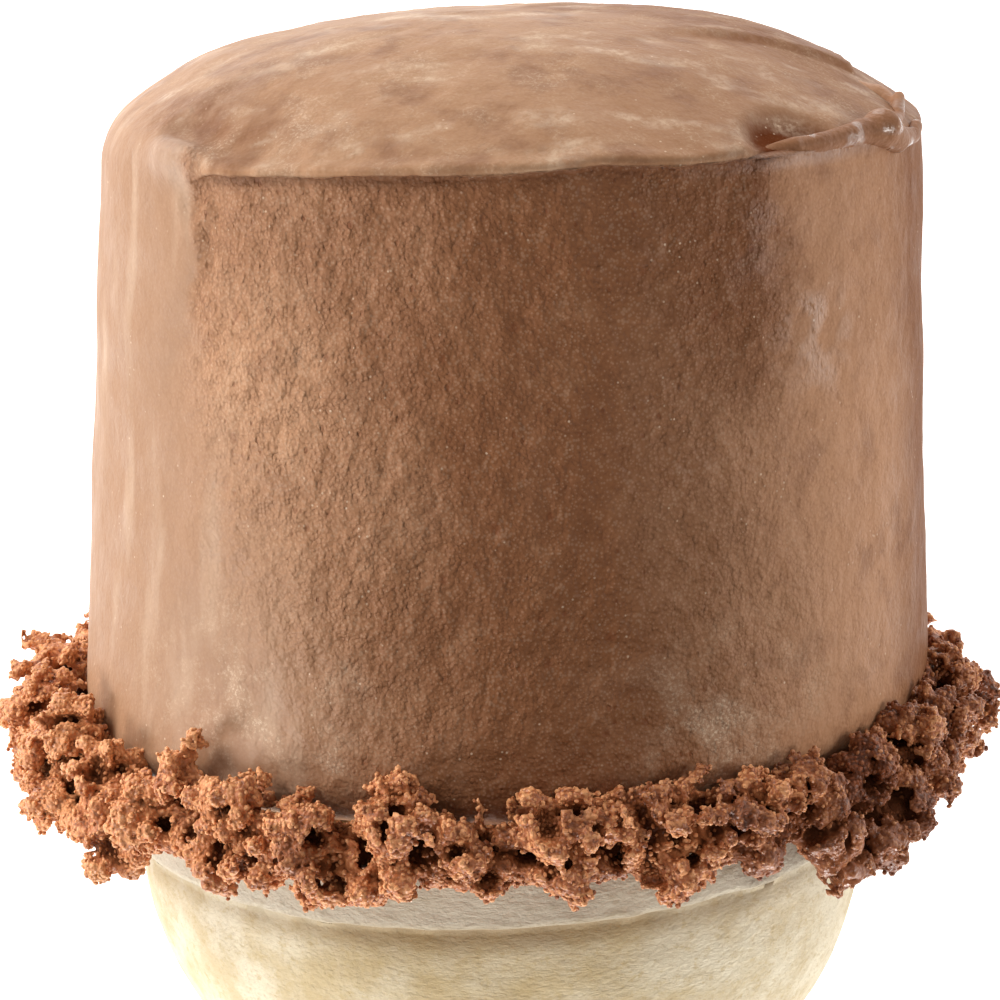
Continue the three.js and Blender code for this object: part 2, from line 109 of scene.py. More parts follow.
class LatticeNoise:
    """Repeatable noise on a cubic lattice, worked out for whole arrays of points at once."""

    CELLS = 256

    def __init__(self, seed: int) -> None:
        """Draws the lattice's tables.

        Args:
            seed: the same seed gives the same noise on every run.
        """
        draw = np.random.default_rng(seed)
        self.order = draw.permutation(self.CELLS).astype(np.int32)
        slopes = draw.normal(size=(self.CELLS, 3))
        self.slopes = (slopes / np.linalg.norm(slopes, axis=1, keepdims=True)).astype(np.float32)
        self.seats = (0.2 + 0.6 * draw.random((self.CELLS, 3))).astype(np.float32)
        self.lots = draw.random(self.CELLS).astype(np.float32)

    def _slot(self, cell: Array) -> Array:
        """The table entry of each lattice cell.

        Args:
            cell: whole numbers along x, y and z, one cell to a row.

        Returns:
            A whole number below CELLS for each cell.
        """
        last = self.CELLS - 1
        slot = self.order[cell[:, 0] & last]
        slot = self.order[(slot + cell[:, 1]) & last]
        return self.order[(slot + cell[:, 2]) & last]

    def waves(self, points: Array) -> Array:
        """Smooth noise: slopes at the lattice's corners, blended with an eased weight.

        Args:
            points: points in lattice cells, one to a row.

        Returns:
            One value for each point, mostly from -1 to 1.
        """
        points = points.astype(np.float32)
        cell = np.floor(points).astype(np.int32)
        inner = points - cell
        weight = inner * inner * inner * (inner * (6.0 * inner - 15.0) + 10.0)
        total = np.zeros(len(points), np.float32)
        for step in product((0, 1), repeat=3):
            slope = self.slopes[self._slot(cell + np.array(step, np.int32))]
            reach = inner - np.array(step, np.float32)
            share = np.ones(len(points), np.float32)
            for axis, side in enumerate(step):
                share *= weight[:, axis] if side else 1.0 - weight[:, axis]
            total += share * np.einsum("ij,ij->i", slope, reach)
        return 1.6 * total

    def layers(self, points: Array, count: int) -> Array:
        """Waves laid over each other, each layer half as wide and half as strong as the last.

        Args:
            points: points in the widest layer's cells, one to a row.
            count: how many layers.

        Returns:
            One value for each point.
        """
        total = np.zeros(len(points), np.float32)
        for layer in range(count):
            total += self.waves(points * 2.0**layer + 7.3 * layer) * 0.5**layer
        return total

    def beads(self, points: Array) -> tuple[Array, Array]:
        """Beads: one in each lattice cell, at a random seat.

        Args:
            points: points in lattice cells, one to a row.

        Returns:
            The distance to the nearest bead's middle, in cells, and that bead's own random number.
        """
        points = points.astype(np.float32)
        corner = np.floor(points - 0.5).astype(np.int32)
        nearest = np.full(len(points), 9.0, np.float32)
        lot = np.zeros(len(points), np.float32)
        for step in product((0, 1), repeat=3):
            cell = corner + np.array(step, np.int32)
            slot = self._slot(cell)
            gap = points - cell - self.seats[slot]
            far = np.einsum("ij,ij->i", gap, gap)
            nearer = far < nearest
            nearest = np.where(nearer, far, nearest)
            lot = np.where(nearer, self.lots[slot], lot)
        return np.sqrt(nearest), lot


def ease(start: Array | float, end: Array | float, value: Array | float) -> Array:
    """Eases from 0 to 1 as the value goes from start to end."""
    share = np.clip((value - start) / (end - start), 0.0, 1.0)
    return share * share * (3.0 - 2.0 * share)


def mix(low: Array | float, high: Array | float, share: Array | float) -> Array:
    """Goes straight from low to high as the share goes from 0 to 1."""
    return low + (high - low) * share


def facing(theta: Array, bearing: float, reach: float) -> Array:
    """1 at the bearing, falling to 0 at reach radians to either side."""
    turn = np.arctan2(np.sin(theta - bearing), np.cos(theta - bearing))
    return 1.0 - ease(0.0, 1.0, np.abs(turn) / reach)


def rounded_join(first: Array, second: Array, blend: float) -> Array:
    """The lesser of two distances, rounded over where they meet, so two shapes melt together.

    Args:
        first: distances to one shape.
        second: distances to the other shape.
        blend: how wide the rounding is.

    Returns:
        The distances to both shapes as one.
    """
    near = np.clip(0.5 + 0.5 * (second - first) / blend, 0.0, 1.0)
    return second + (first - second) * near - blend * near * (1.0 - near)


# ---- Meshes ---------------------------------------------------------------------------------------


@dataclass
class Skin:
    """A closed surface: points in upright millimetres, faces, and one number a point for each mask."""

    points: Array
    quads: Array
    triangles: Array = field(default_factory=lambda: np.zeros((0, 3), np.int32))
    masks: dict[str, Array] = field(default_factory=dict)

    def build(self, name: str, rest: Rest, finish: bpy.types.Material) -> bpy.types.Object:
        """Puts the surface into the scene as a smooth mesh object at the origin.

        Args:
            name: the object's name.
            rest: where the upright cone lies.
            finish: the object's material.

        Returns:
            The new object.
        """
        mesh = bpy.data.meshes.new(name)
        corners = np.concatenate([self.quads.ravel(), self.triangles.ravel()]).astype(np.int32)
        sizes = np.concatenate(
            [np.full(len(self.quads), 4), np.full(len(self.triangles), 3)]
        ).astype(np.int32)
        starts = np.concatenate([[0], np.cumsum(sizes)[:-1]]).astype(np.int32)
        mesh.vertices.add(len(self.points))
        mesh.loops.add(len(corners))
        mesh.polygons.add(len(sizes))
        mesh.vertices.foreach_set("co", rest.lay(self.points).astype(np.float32).ravel())
        mesh.loops.foreach_set("vertex_index", corners)
        mesh.polygons.foreach_set("loop_start", starts)
        mesh.update(calc_edges=True)
        mesh.polygons.foreach_set("use_smooth", np.ones(len(sizes), dtype=bool))
        for label, values in self.masks.items():
            layer = mesh.attributes.new(label, "FLOAT", "POINT")
            layer.data.foreach_set("value", values.astype(np.float32))
        mesh.validate()
        mesh.materials.append(finish)
        item = bpy.data.objects.new(name, mesh)
        bpy.context.scene.collection.objects.link(item)
        return item

    def joined(self, other: Skin) -> Skin:
        """Both surfaces as one skin; they carry the same masks."""
        start = len(self.points)
        return Skin(
            np.concatenate([self.points, other.points]),
            np.concatenate([self.quads, other.quads + start]),
            np.concatenate([self.triangles, other.triangles + start]),
            {label: np.concatenate([self.masks[label], other.masks[label]]) for label in self.masks},
        )


def skin_of_rings(rings: Array, bottom: Array, top: Array, masks: dict[str, Array]) -> Skin:
    """Closes a stack of rings into a skin, with a pole at each end.

    Quads join each ring to the next, and a fan of triangles joins each end ring to its pole.

    Args:
        rings: points by ring, side and axis, with the rings listed upwards on the outside.
        bottom: the pole that closes the first ring.
        top: the pole that closes the last ring.
        masks: numbers by ring and side for each mask; a pole takes its neighbour's.

    Returns:
        The skin: the points are the bottom pole, the rings in order and the top pole.
    """
    count, sides = rings.shape[:2]
    points = np.concatenate([bottom[None], rings.reshape(-1, 3), top[None]])
    side = np.arange(sides)
    after = (side + 1) % sides
    start = 1 + np.arange(count - 1)[:, None] * sides
    quads = np.stack(
        [start + side, start + after, start + sides + after, start + sides + side], axis=-1
    ).reshape(-1, 4)
    last = len(points) - 1
    end = 1 + (count - 1) * sides
    triangles = np.concatenate(
        [
            np.stack([np.zeros(sides, int), 1 + after, 1 + side], axis=-1),
            np.stack([np.full(sides, last), end + side, end + after], axis=-1),
        ]
    )
    padded = {label: np.pad(values.ravel(), 1, mode="edge") for label, values in masks.items()}
    return Skin(points, quads, triangles, padded)


def outward_of_rings(rings: Array) -> Array:
    """The outward direction at each point of a stack of rings, from its neighbours' differences.

    Args:
        rings: points by ring, side and axis.

    Returns:
        Directions of unit length, by ring, side and axis.
    """
    round_it = np.roll(rings, -1, axis=1) - np.roll(rings, 1, axis=1)
    along_it = np.gradient(rings, axis=0)
    outward = np.cross(round_it, along_it)
    return outward / np.maximum(np.linalg.norm(outward, axis=-1, keepdims=True), 1e-9)


class Block:
    """A block of evenly spaced sample points, on which a solid is drawn as distances to its surface."""

    EMPTY = 4.0
    MARGIN = 1.6
    BALL_MARGIN = 1.2

    def __init__(self, low: Array, high: Array, step: float) -> None:
        """Lays out the block.

        Args:
            low: lowest corner in millimetres.
            high: highest corner in millimetres.
            step: distance between neighbouring samples in millimetres.
        """
        self.step = step
        first = np.floor(low / step).astype(int)
        self.low = first * step
        self.shape = tuple(np.ceil(high / step).astype(int) - first + 1)
        self.distance = np.full(self.shape, self.EMPTY, np.float32)

    def axes(self, window: tuple[slice, ...] | None = None) -> list[Array]:
        """The x, y and z of the samples, as arrays that broadcast together.

        Args:
            window: the slices to keep, or nothing for the whole block.

        Returns:
            Three arrays, each long along its own axis alone.
        """
        found = []
        for axis, size in enumerate(self.shape):
            place = self.low[axis] + self.step * np.arange(size, dtype=np.float32)
            if window is not None:
                place = place[window[axis]]
            found.append(place.reshape([-1 if other == axis else 1 for other in range(3)]))
        return found

    def window(self, low: Array, high: Array) -> tuple[slice, ...]:
        """The slices of the samples between two corners.

        Args:
            low: the lowest corner.
            high: the highest corner.

        Returns:
            A slice for each axis.
        """
        first = np.clip(np.floor((low - self.low) / self.step).astype(int), 0, self.shape)
        last = np.clip(np.ceil((high - self.low) / self.step).astype(int) + 1, 0, self.shape)
        return tuple(slice(a, b) for a, b in zip(first, last))

    def places(self, chosen: Array) -> Array:
        """The points of the chosen samples, given as rows of whole numbers."""
        return self.low + self.step * chosen

    def add_lump(self, centre: Array, sizes: Array, turn: Array, blend: float) -> None:
        """Melts a lump with three half-sizes into the solid.

        The distance is the length in half-sizes, less one, times the mean half-size.

        Args:
            centre: the lump's middle.
            sizes: its three half-sizes.
            turn: a 3 by 3 array that turns the lump.
            blend: how widely it melts into what is there.
        """
        reach = sizes.max() + self.MARGIN
        window = self.window(centre - reach, centre + reach)
        x, y, z = self.axes(window)
        gaps = [x - centre[0], y - centre[1], z - centre[2]]
        total = 0.0
        for row in range(3):
            part = sum(turn[row, axis] * gaps[axis] for axis in range(3)) / sizes[row]
            total = total + part * part
        lump = (np.sqrt(total) - 1.0) * sizes.mean()
        self.distance[window] = rounded_join(self.distance[window], lump, blend)

    def ball(self, centre: Array, radius: float) -> tuple[tuple[slice, ...], Array]:
        """The distances to a ball, in a window round it.

        Args:
            centre: the ball's middle.
            radius: its radius.

        Returns:
            The window, and the distance at each of its samples.
        """
        window = self.window(centre - radius - self.BALL_MARGIN, centre + radius + self.BALL_MARGIN)
        gaps = [place - middle for place, middle in zip(self.axes(window), centre)]
        return window, np.sqrt(sum(gap * gap for gap in gaps)) - radius

    def add_ball(self, centre: Array, radius: float, blend: float) -> None:
        """Melts a ball into the solid."""
        window, ball = self.ball(centre, radius)
        self.distance[window] = rounded_join(self.distance[window], ball, blend)

    def cut_ball(self, centre: Array, radius: float) -> None:
        """Takes a round bite out of the solid."""
        window, ball = self.ball(centre, radius)
        self.distance[window] = np.maximum(self.distance[window], -ball)

    def add_rod(self, start: Array, end: Array, radii: Pair, blend: float) -> None:
        """Melts a round-ended rod into the solid.

        The distance is that to the nearest point of the rod's middle line, less the radius there.

        Args:
            start: one end of the middle line.
            end: the other end.
            radii: the radius at each end.
            blend: how widely it melts into what is there.
        """
        reach = max(radii) + self.MARGIN
        window = self.window(np.minimum(start, end) - reach, np.maximum(start, end) + reach)
        x, y, z = self.axes(window)
        gaps = [x - start[0], y - start[1], z - start[2]]
        along = end - start
        share = sum(along[axis] * gaps[axis] for axis in range(3)) / float(along @ along)
        share = np.clip(share, 0.0, 1.0)
        far = sum((gaps[axis] - share * along[axis]) ** 2 for axis in range(3))
        rod = np.sqrt(far) - mix(radii[0], radii[1], share)
        self.distance[window] = rounded_join(self.distance[window], rod, blend)

    def keep_joined(self, seed: Array) -> None:
        """Drops scraps that don't hang together with the seed, and fills sealed pockets.

        Each pass lets the kept part grow by one sample in the six directions, inside the solid.

        Args:
            seed: true at samples that surely belong to the solid.
        """
        inside = self.distance < 0.0
        kept = self._grow(seed & inside, inside)
        open_air = ~kept
        outer = self._grow(open_air & (self.distance > 1.5), open_air)
        self.distance = np.where(inside & ~kept, self.step, self.distance)
        self.distance = np.where(open_air & ~outer, -self.step, self.distance)

    @staticmethod
    def _grow(kept: Array, room: Array) -> Array:
        """Grows the kept samples through the room until nothing is added.

        Args:
            kept: true at the samples to start from.
            room: true where it may grow.

        Returns:
            True at all the samples that were reached.
        """
        count = -1
        while count != (count := int(kept.sum())):
            for _ in range(8):
                wider = kept.copy()
                for axis in range(3):
                    low = [slice(None)] * 3
                    high = [slice(None)] * 3
                    low[axis], high[axis] = slice(None, -1), slice(1, None)
                    wider[tuple(low)] |= kept[tuple(high)]
                    wider[tuple(high)] |= kept[tuple(low)]
                kept = wider & room
        return kept

    def skin(self) -> Skin:
        """Draws the surface where the distance is zero.

        Each cell of eight samples that the surface passes through gets one point, the mean of where
        the surface crosses the cell's edges. Each crossed edge gets one quad, which joins the points
        of the four cells round it and faces away from the solid.

        Returns:
            The skin, without masks.
        """
        value = self.distance
        inside = value < 0.0
        count = np.zeros([size - 1 for size in self.shape], np.uint8)
        for corner in product((0, 1), repeat=3):
            view = tuple(slice(c, c + size - 1) for c, size in zip(corner, self.shape))
            count += inside[view]
        mixed = (count > 0) & (count < 8)
        cells = np.argwhere(mixed)
        number = np.full(mixed.shape, -1, np.int32)
        number[mixed] = np.arange(len(cells))
        total = np.zeros((len(cells), 3))
        hits = np.zeros(len(cells))
        for axis in range(3):
            forward = np.eye(3, dtype=int)[axis]
            for one, two in product((0, 1), repeat=2):
                offset = np.zeros(3, int)
                offset[(axis + 1) % 3], offset[(axis + 2) % 3] = one, two
                start = value[tuple((cells + offset).T)].astype(np.float64)
                end = value[tuple((cells + offset + forward).T)].astype(np.float64)
                crossed = (start < 0.0) != (end < 0.0)
                share = np.where(crossed, start / np.where(crossed, start - end, 1.0), 0.0)
                total += crossed[:, None] * (offset + share[:, None] * forward)
                hits += crossed
        points = self.low + self.step * (cells + total / hits[:, None])
        quads = []
        for axis in range(3):
            one, two = np.eye(3, dtype=int)[(axis + 1) % 3], np.eye(3, dtype=int)[(axis + 2) % 3]
            low = [slice(1, -1)] * 3
            high = [slice(1, -1)] * 3
            low[axis], high[axis] = slice(0, -1), slice(1, None)
            change = inside[tuple(low)] != inside[tuple(high)]
            edge = np.argwhere(change) + np.array([0 if a == axis else 1 for a in range(3)])
            ring = [edge - one - two, edge - two, edge, edge - one]
            face = np.stack([number[tuple(cell.T)] for cell in ring], axis=-1)
            leaves = inside[tuple(edge.T)]
            quads.append(np.where(leaves[:, None], face, face[:, ::-1]))
        return Skin(points, np.concatenate(quads))

    def openness(self, reach: int) -> Array:
        """How open the neighbourhood of each sample is: 0 in deep gaps, 0.5 on flats, 1 on tips.

        It is the share of air in a box round the sample, from running sums along each axis.

        Args:
            reach: half of the box's width, in samples.

        Returns:
            The share of air at each sample.
        """
        air = (self.distance >= 0.0).astype(np.float32)
        width = 2 * reach + 1
        for axis in range(3):
            edges = [(0, 0)] * 3
            edges[axis] = (reach + 1, reach)
            total = np.cumsum(np.pad(air, edges, mode="edge"), axis=axis, dtype=np.float32)
            size = air.shape[axis]
            high = np.take(total, np.arange(width, width + size), axis=axis)
            low = np.take(total, np.arange(size), axis=axis)
            air = (high - low) / width
        return air

    def outward(self, points: Array) -> Array:
        """The direction away from the solid at each point: the slope of the distance, at unit length.

        Args:
            points: points in millimetres, one to a row.

        Returns:
            One direction for each point.
        """
        slopes = [self.sample(part, points) for part in np.gradient(self.distance)]
        away = np.stack(slopes, axis=-1)
        return away / np.maximum(np.linalg.norm(away, axis=-1, keepdims=True), 1e-6)

    def sample(self, values: Array, points: Array) -> Array:
        """The value at the sample nearest each point.

        Args:
            values: an array of the block's shape.
            points: points in millimetres, one to a row.

        Returns:
            One value for each point.
        """
        near = np.rint((points - self.low) / self.step).astype(int)
        near = np.clip(near, 0, np.array(self.shape) - 1)
        return values[tuple(near.T)]


@dataclass
class Grains:
    """Small round grains, each an icosahedron with 20 faces, stretched and turned at random."""

    draw: np.random.Generator
    stretch: float = 0.35

    @staticmethod
    def pattern() -> tuple[Array, Array]:
        """The icosahedron's corners and faces.

        The corners are (0, +-1, +-golden ratio) in all three cyclic orders. Corners joined by an edge
        are two apart, and three that are joined to each other make a face.

        Returns:
            Twelve corners at unit distance from the middle, and twenty faces that look outward.
        """
        golden = (1.0 + math.sqrt(5.0)) / 2.0
        first = np.array([[0.0, one, two * golden] for one in (-1.0, 1.0) for two in (-1.0, 1.0)])
        corners = np.concatenate([np.roll(first, turn, axis=1) for turn in range(3)])
        edges = np.isclose(np.linalg.norm(corners[:, None] - corners[None], axis=-1), 2.0)
        faces = []
        for one, two, three in combinations(range(len(corners)), 3):
            if edges[one, two] and edges[two, three] and edges[one, three]:
                outward = np.linalg.det(corners[[one, two, three]]) > 0.0
                faces.append((one, two, three) if outward else (one, three, two))
        return corners / math.hypot(1.0, golden), np.array(faces)

    def skin(self, centres: Array, radii: Array) -> Skin:
        """Makes a grain at each centre.

        Args:
            centres: the grains' middles, one to a row.
            radii: their radii.

        Returns:
            The skin of all the grains, with every grain's corners in a row.
        """
        corners, faces = self.pattern()
        count = len(centres)
        turns, _ = np.linalg.qr(self.draw.normal(size=(count, 3, 3)))
        turns *= np.sign(np.linalg.det(turns))[:, None, None]
        sizes = radii[:, None] * (1.0 + self.stretch * (self.draw.random((count, 3)) - 0.5))
        placed = np.einsum("nij,nj,kj->nki", turns, sizes, corners) + centres[:, None]
        numbers = faces[None] + len(corners) * np.arange(count)[:, None, None]
        return Skin(placed.reshape(-1, 3), np.zeros((0, 4), np.int32), numbers.reshape(-1, 3))


# ---- Materials ------------------------------------------------------------------------------------


def shade(red: int, green: int, blue: int) -> Colour:
    """A colour as it looks on a screen, turned into Blender's linear colour.

    Args:
        red: red from 0 to 255.
        green: green from 0 to 255.
        blue: blue from 0 to 255.

    Returns:
        Red, green, blue and alpha, from 0 to 1.
    """
    parts = [value / 255.0 for value in (red, green, blue)]
    linear = [p / 12.92 if p <= 0.04045 else ((p + 0.055) / 1.055) ** 2.4 for p in parts]
    return (*linear, 1.0)


class Sum(Enum):
    """Arithmetic on two numbers."""

    PLUS = "ADD"
    LESS = "SUBTRACT"
    TIMES = "MULTIPLY"
    GREATER = "MAXIMUM"
    ABOVE = "GREATER_THAN"


class Graph:
    """Adds shader nodes to one material and links them."""

    def __init__(self, name: str) -> None:
        """Starts a material with a principled surface.

        Args:
            name: the material's name.
        """
        self.material = bpy.data.materials.new(name)
        self.material.use_nodes = True
        self.tree = self.material.node_tree
        self.surface = self.tree.nodes["Principled BSDF"]
        self.place = self.add("ShaderNodeTexCoord").outputs["Object"]

    def add(self, kind: str, inputs: dict[Any, Any] | None = None, **settings: Any) -> bpy.types.Node:
        """Adds a node.

        Args:
            kind: Blender's name for the node.
            inputs: a number, colour or output for each input, by name or number.
            settings: the node's own settings.

        Returns:
            The node.
        """
        node = self.tree.nodes.new(kind)
        for key, value in settings.items():
            setattr(node, key, value)
        for key, value in (inputs or {}).items():
            if isinstance(value, bpy.types.NodeSocket):
                self.tree.links.new(value, node.inputs[key])
            else:
                node.inputs[key].default_value = value
        return node

    def set(self, **values: Any) -> None:
        """Sets inputs of the surface.

        Args:
            values: a number, colour or output for each input; an underscore stands for a space.
        """
        for key, value in values.items():
            socket = self.surface.inputs[key.replace("_", " ")]
            if isinstance(value, bpy.types.NodeSocket):
                self.tree.links.new(value, socket)
            else:
                socket.default_value = value

    def stretched(self, scale: Triple, turn: Triple) -> Any:
        """The object's coordinates, stretched along the frame's axes and turned."""
        inputs = {"Vector": self.place, "Scale": scale, "Rotation": turn}
        return self.add("ShaderNodeMapping", inputs).outputs["Vector"]

    def noise(self, size: float, detail: float = 3.0, rough: float = 0.5, place: Any = None) -> Any:
        """Noise from 0 to 1.

        Args:
            size: about how wide its features are, in millimetres.
            detail: how many finer layers lie over the widest.
            rough: how strong each layer is beside the one before.
            place: the coordinates that it is drawn on, or nothing for the object's own.

        Returns:
            The noise.
        """
        inputs = {"Vector": place or self.place, "Scale": 1.0 / (size * MM)}
        inputs |= {"Detail": detail, "Roughness": rough}
        return self.add("ShaderNodeTexNoise", inputs).outputs["Fac"]

    def cells(self, size: float, place: Any = None) -> Any:
        """Cells about as wide as the size given in millimetres: the node's outputs, by name."""
        inputs = {"Vector": place or self.place, "Scale": 1.0 / (size * MM)}
        return self.add("ShaderNodeTexVoronoi", inputs).outputs

    def lots(self, cells: Any) -> Any:
        """Three random numbers for each cell, from 0 to 1."""
        return self.add("ShaderNodeSeparateColor", {0: cells["Color"]}).outputs

    def span(self, value: Any, start: float, end: float, low: float = 0.0, high: float = 1.0) -> Any:
        """Eases from one number to another.

        Args:
            value: the number that it follows.
            start: the value at which it starts.
            end: the value at which it ends; it may be the lesser of the two.
            low: what it gives at the start.
            high: what it gives at the end.

        Returns:
            The eased number.
        """
        inputs = {"Value": value, "From Min": start, "From Max": end, "To Min": low, "To Max": high}
        node = self.add("ShaderNodeMapRange", inputs, interpolation_type="SMOOTHSTEP")
        return node.outputs["Result"]

    def math(self, operation: Sum, first: Any, second: Any) -> Any:
        """Arithmetic on two numbers."""
        return self.add("ShaderNodeMath", {0: first, 1: second}, operation=operation.value).outputs[0]

    def plus(self, first: Any, second: Any) -> Any:
        """The two added up."""
        return self.math(Sum.PLUS, first, second)

    def less(self, first: Any, second: Any) -> Any:
        """The first less the second."""
        return self.math(Sum.LESS, first, second)

    def times(self, first: Any, second: Any) -> Any:
        """The first times the second."""
        return self.math(Sum.TIMES, first, second)

    def greater(self, first: Any, second: Any) -> Any:
        """The greater of the two."""
        return self.math(Sum.GREATER, first, second)

    def above(self, value: Any, limit: float) -> Any:
        """1 where the value is above the limit, and 0 elsewhere."""
        return self.math(Sum.ABOVE, value, limit)

    def mask(self, label: str) -> Any:
        """A number that the mesh carries at each of its points."""
        return self.add("ShaderNodeAttribute", attribute_name=label).outputs["Fac"]

    def coat_of(self, under: Any, over: Any, share: Any) -> Any:
        """Lays one colour over another."""
        return self.add("ShaderNodeMix", {0: share, 6: under, 7: over}, data_type="RGBA").outputs[2]

    def relief(self, height: Any, depth: float, below: Any = None) -> Any:
        """Bumps.

        Args:
            height: the height, from 0 to 1.
            depth: what a height of 1 stands for, in millimetres.
            below: the bumps that these lie on.

        Returns:
            The bumped direction of the surface.
        """
        inputs = {"Height": height, "Distance": depth * MM, "Strength": 1.0}
        if below is not None:
            inputs["Normal"] = below
        return self.add("ShaderNodeBump", inputs).outputs["Normal"]


@dataclass(frozen=True)
class IceCreamFinish:
    """Soft milk-chocolate ice cream: melted and smooth at one side, porous and grainy at the front."""

    melted: Colour = shade(156, 117, 87)
    scraped: Colour = shade(166, 124, 91)
    porous: Colour = shade(130, 84, 54)
    pale: Colour = shade(170, 125, 92)
    smeared: Colour = shade(180, 133, 99)
    deep: Colour = shade(92, 52, 31)
    shade_and_blotch: Colour = shade(118, 74, 48)
    dip_shade: Colour = shade(96, 46, 22)
    pore_shade: Colour = shade(112, 60, 32)
    frost: Colour = shade(214, 188, 162)

    def make(self) -> bpy.types.Material:
        """Makes the material.

        Returns:
            The material.
        """
        graph = Graph("milk_chocolate_ice_cream")
        melted, crown, swept = graph.mask("melted"), graph.mask("crown"), graph.mask("smeared")
        wet, crinkled, frosted = graph.mask("wet"), graph.mask("crinkled"), graph.mask("frosted")
        smooth = graph.greater(melted, crown)
        even = graph.greater(smooth, graph.times(swept, 0.7))
        rough_side = graph.less(1.0, even)
        grainy = graph.span(rough_side, 0.0, 1.0, 0.28, 1.0)
        streaks = graph.stretched((1.0, 0.16, 1.0), (0.0, 0.0, 0.12))
        smears = graph.stretched((0.5, 1.0, 1.0), (0.0, 0.6, 0.0))
        leaning = graph.stretched((1.0, 0.78, 1.0), (0.0, 0.0, 0.3))
        line = graph.noise(2.6, 2.5, 0.5, streaks)
        smear = graph.noise(2.8, 2.5, 0.55, smears)
        gap = graph.cells(0.23)["Distance"]
        thick = graph.span(graph.noise(1.1, 2.0), 0.3, 0.7, 0.3, 1.3)
        grain = graph.times(graph.times(gap, gap), thick)
        pitted = self.pores(graph, rough_side, leaning)

        colour = self.body(graph, melted, crown, swept)
        colour = self.marks(graph, colour, melted, crown, line, smear)
        # Darker in the cracks between the grains, which the relief sinks, and lighter on the grains' tops:
        # painted shade and painted light.
        fleck = graph.times(graph.span(grain, 0.1, 0.6, 0.0, 0.22), grainy)
        colour = graph.coat_of(colour, self.deep, fleck)
        light = graph.times(graph.span(grain, 0.12, 0.0, 0.0, 0.14), grainy)
        colour = graph.coat_of(colour, self.frost, light)
        # Darker inside the pores: painted shade.
        colour = graph.coat_of(colour, self.pore_shade, graph.times(pitted, 0.6))
        # A darker band just under the lip's overhang: painted shadow.
        under = graph.times(graph.mask("under_lip_shadow"), 0.42)
        colour = graph.coat_of(colour, self.deep, under)
        colour = graph.coat_of(colour, self.frost, self.snow(graph, frosted))

        sponge = graph.times(graph.noise(0.9, 2.0, 0.5, leaning), grainy)
        normal = graph.relief(sponge, 0.36)
        normal = graph.relief(graph.times(grain, grainy), -0.055, normal)
        normal = graph.relief(graph.times(graph.noise(0.4, 2.0, 0.5), grainy), 0.1, normal)
        normal = graph.relief(graph.less(1.0, pitted), 0.055, normal)
        creased = graph.stretched((1.0, 0.5, 1.0), (0.0, 0.0, -0.8))
        crinkle = graph.times(graph.noise(0.42, 2.0, 0.5, creased), crinkled)
        normal = graph.relief(crinkle, 0.22, normal)

        rough = graph.span(graph.noise(3.0, 3.0), 0.3, 0.7, 0.46, 0.62)
        rough = graph.less(rough, graph.times(wet, 0.3))
        graph.set(Base_Color=colour, Roughness=rough, Normal=normal)
        sheen = graph.plus(graph.span(melted, 0.0, 1.0, 0.14, 0.3), graph.times(wet, 0.5))
        dull = graph.greater(graph.mask("dip"), graph.times(graph.mask("shaded"), 0.8))
        sheen = graph.times(sheen, graph.less(1.0, graph.less(dull, wet)))
        graph.set(Specular_IOR_Level=sheen)
        return graph.material

    def body(self, graph: Graph, melted: Any, crown: Any, swept: Any) -> Any:
        """The colour of each zone, with soft blotches and darker patches between them, and painted light and
        shade.

        Args:
            graph: the material's graph.
            melted: 1 where the side melted smooth.
            crown: 1 on the crown.
            swept: 1 where the scraper smeared the side.

        Returns:
            The colour.
        """
        blotch = graph.noise(4.0, 6.0, 0.62)
        # The pale mask is painted light: the drum is paler on the left, where the key lamps fall, and low on
        # the right side.
        colour = graph.coat_of(self.porous, self.pale, graph.mask("pale"))
        colour = graph.coat_of(colour, self.deep, graph.span(blotch, 0.5, 0.74, 0.0, 0.26))
        colour = graph.coat_of(colour, self.pale, graph.span(blotch, 0.46, 0.28, 0.0, 0.3))
        tan = graph.coat_of(self.smeared, self.shade_and_blotch, graph.span(blotch, 0.48, 0.7, 0.0, 0.42))
        colour = graph.coat_of(colour, tan, swept)
        colour = graph.coat_of(colour, self.melted, melted)
        colour = graph.coat_of(colour, self.scraped, crown)
        # Painted shade: darker at the right edge, in the notch on the crown, on the crown towards +X and in
        # patches high on the right side.
        colour = graph.coat_of(colour, self.shade_and_blotch, graph.times(graph.mask("shaded"), 0.8))
        # The dip on the crown is coloured deep brown: painted shade in it.
        return graph.coat_of(colour, self.dip_shade, graph.times(graph.mask("dip"), 0.95))

    def marks(self, graph: Graph, colour: Any, melted: Any, crown: Any, line: Any, smear: Any) -> Any:
        """Pale runs down the melted side, and pale and dull smears across the crown.

        Args:
            graph: the material's graph.
            colour: the colour below.
            melted: 1 where the side melted smooth.
            crown: 1 on the crown.
            line: noise drawn out down the side.
            smear: noise drawn out across the crown.

        Returns:
            The colour with the marks on it.
        """
        runs = graph.times(graph.span(line, 0.5, 0.76), graph.span(melted, 0.2, 0.9, 0.02, 0.28))
        colour = graph.coat_of(colour, self.frost, runs)
        speck = graph.span(graph.noise(0.5, 3.0, 0.7), 0.36, 0.64, 0.25, 1.0)
        dusted = graph.times(graph.span(smear, 0.5, 0.72, 0.0, 0.62), speck)
        colour = graph.coat_of(colour, self.frost, graph.times(dusted, crown))
        dull = graph.times(graph.span(graph.noise(4.0, 5.0, 0.6), 0.48, 0.68, 0.0, 0.5), crown)
        return graph.coat_of(colour, self.shade_and_blotch, dull)

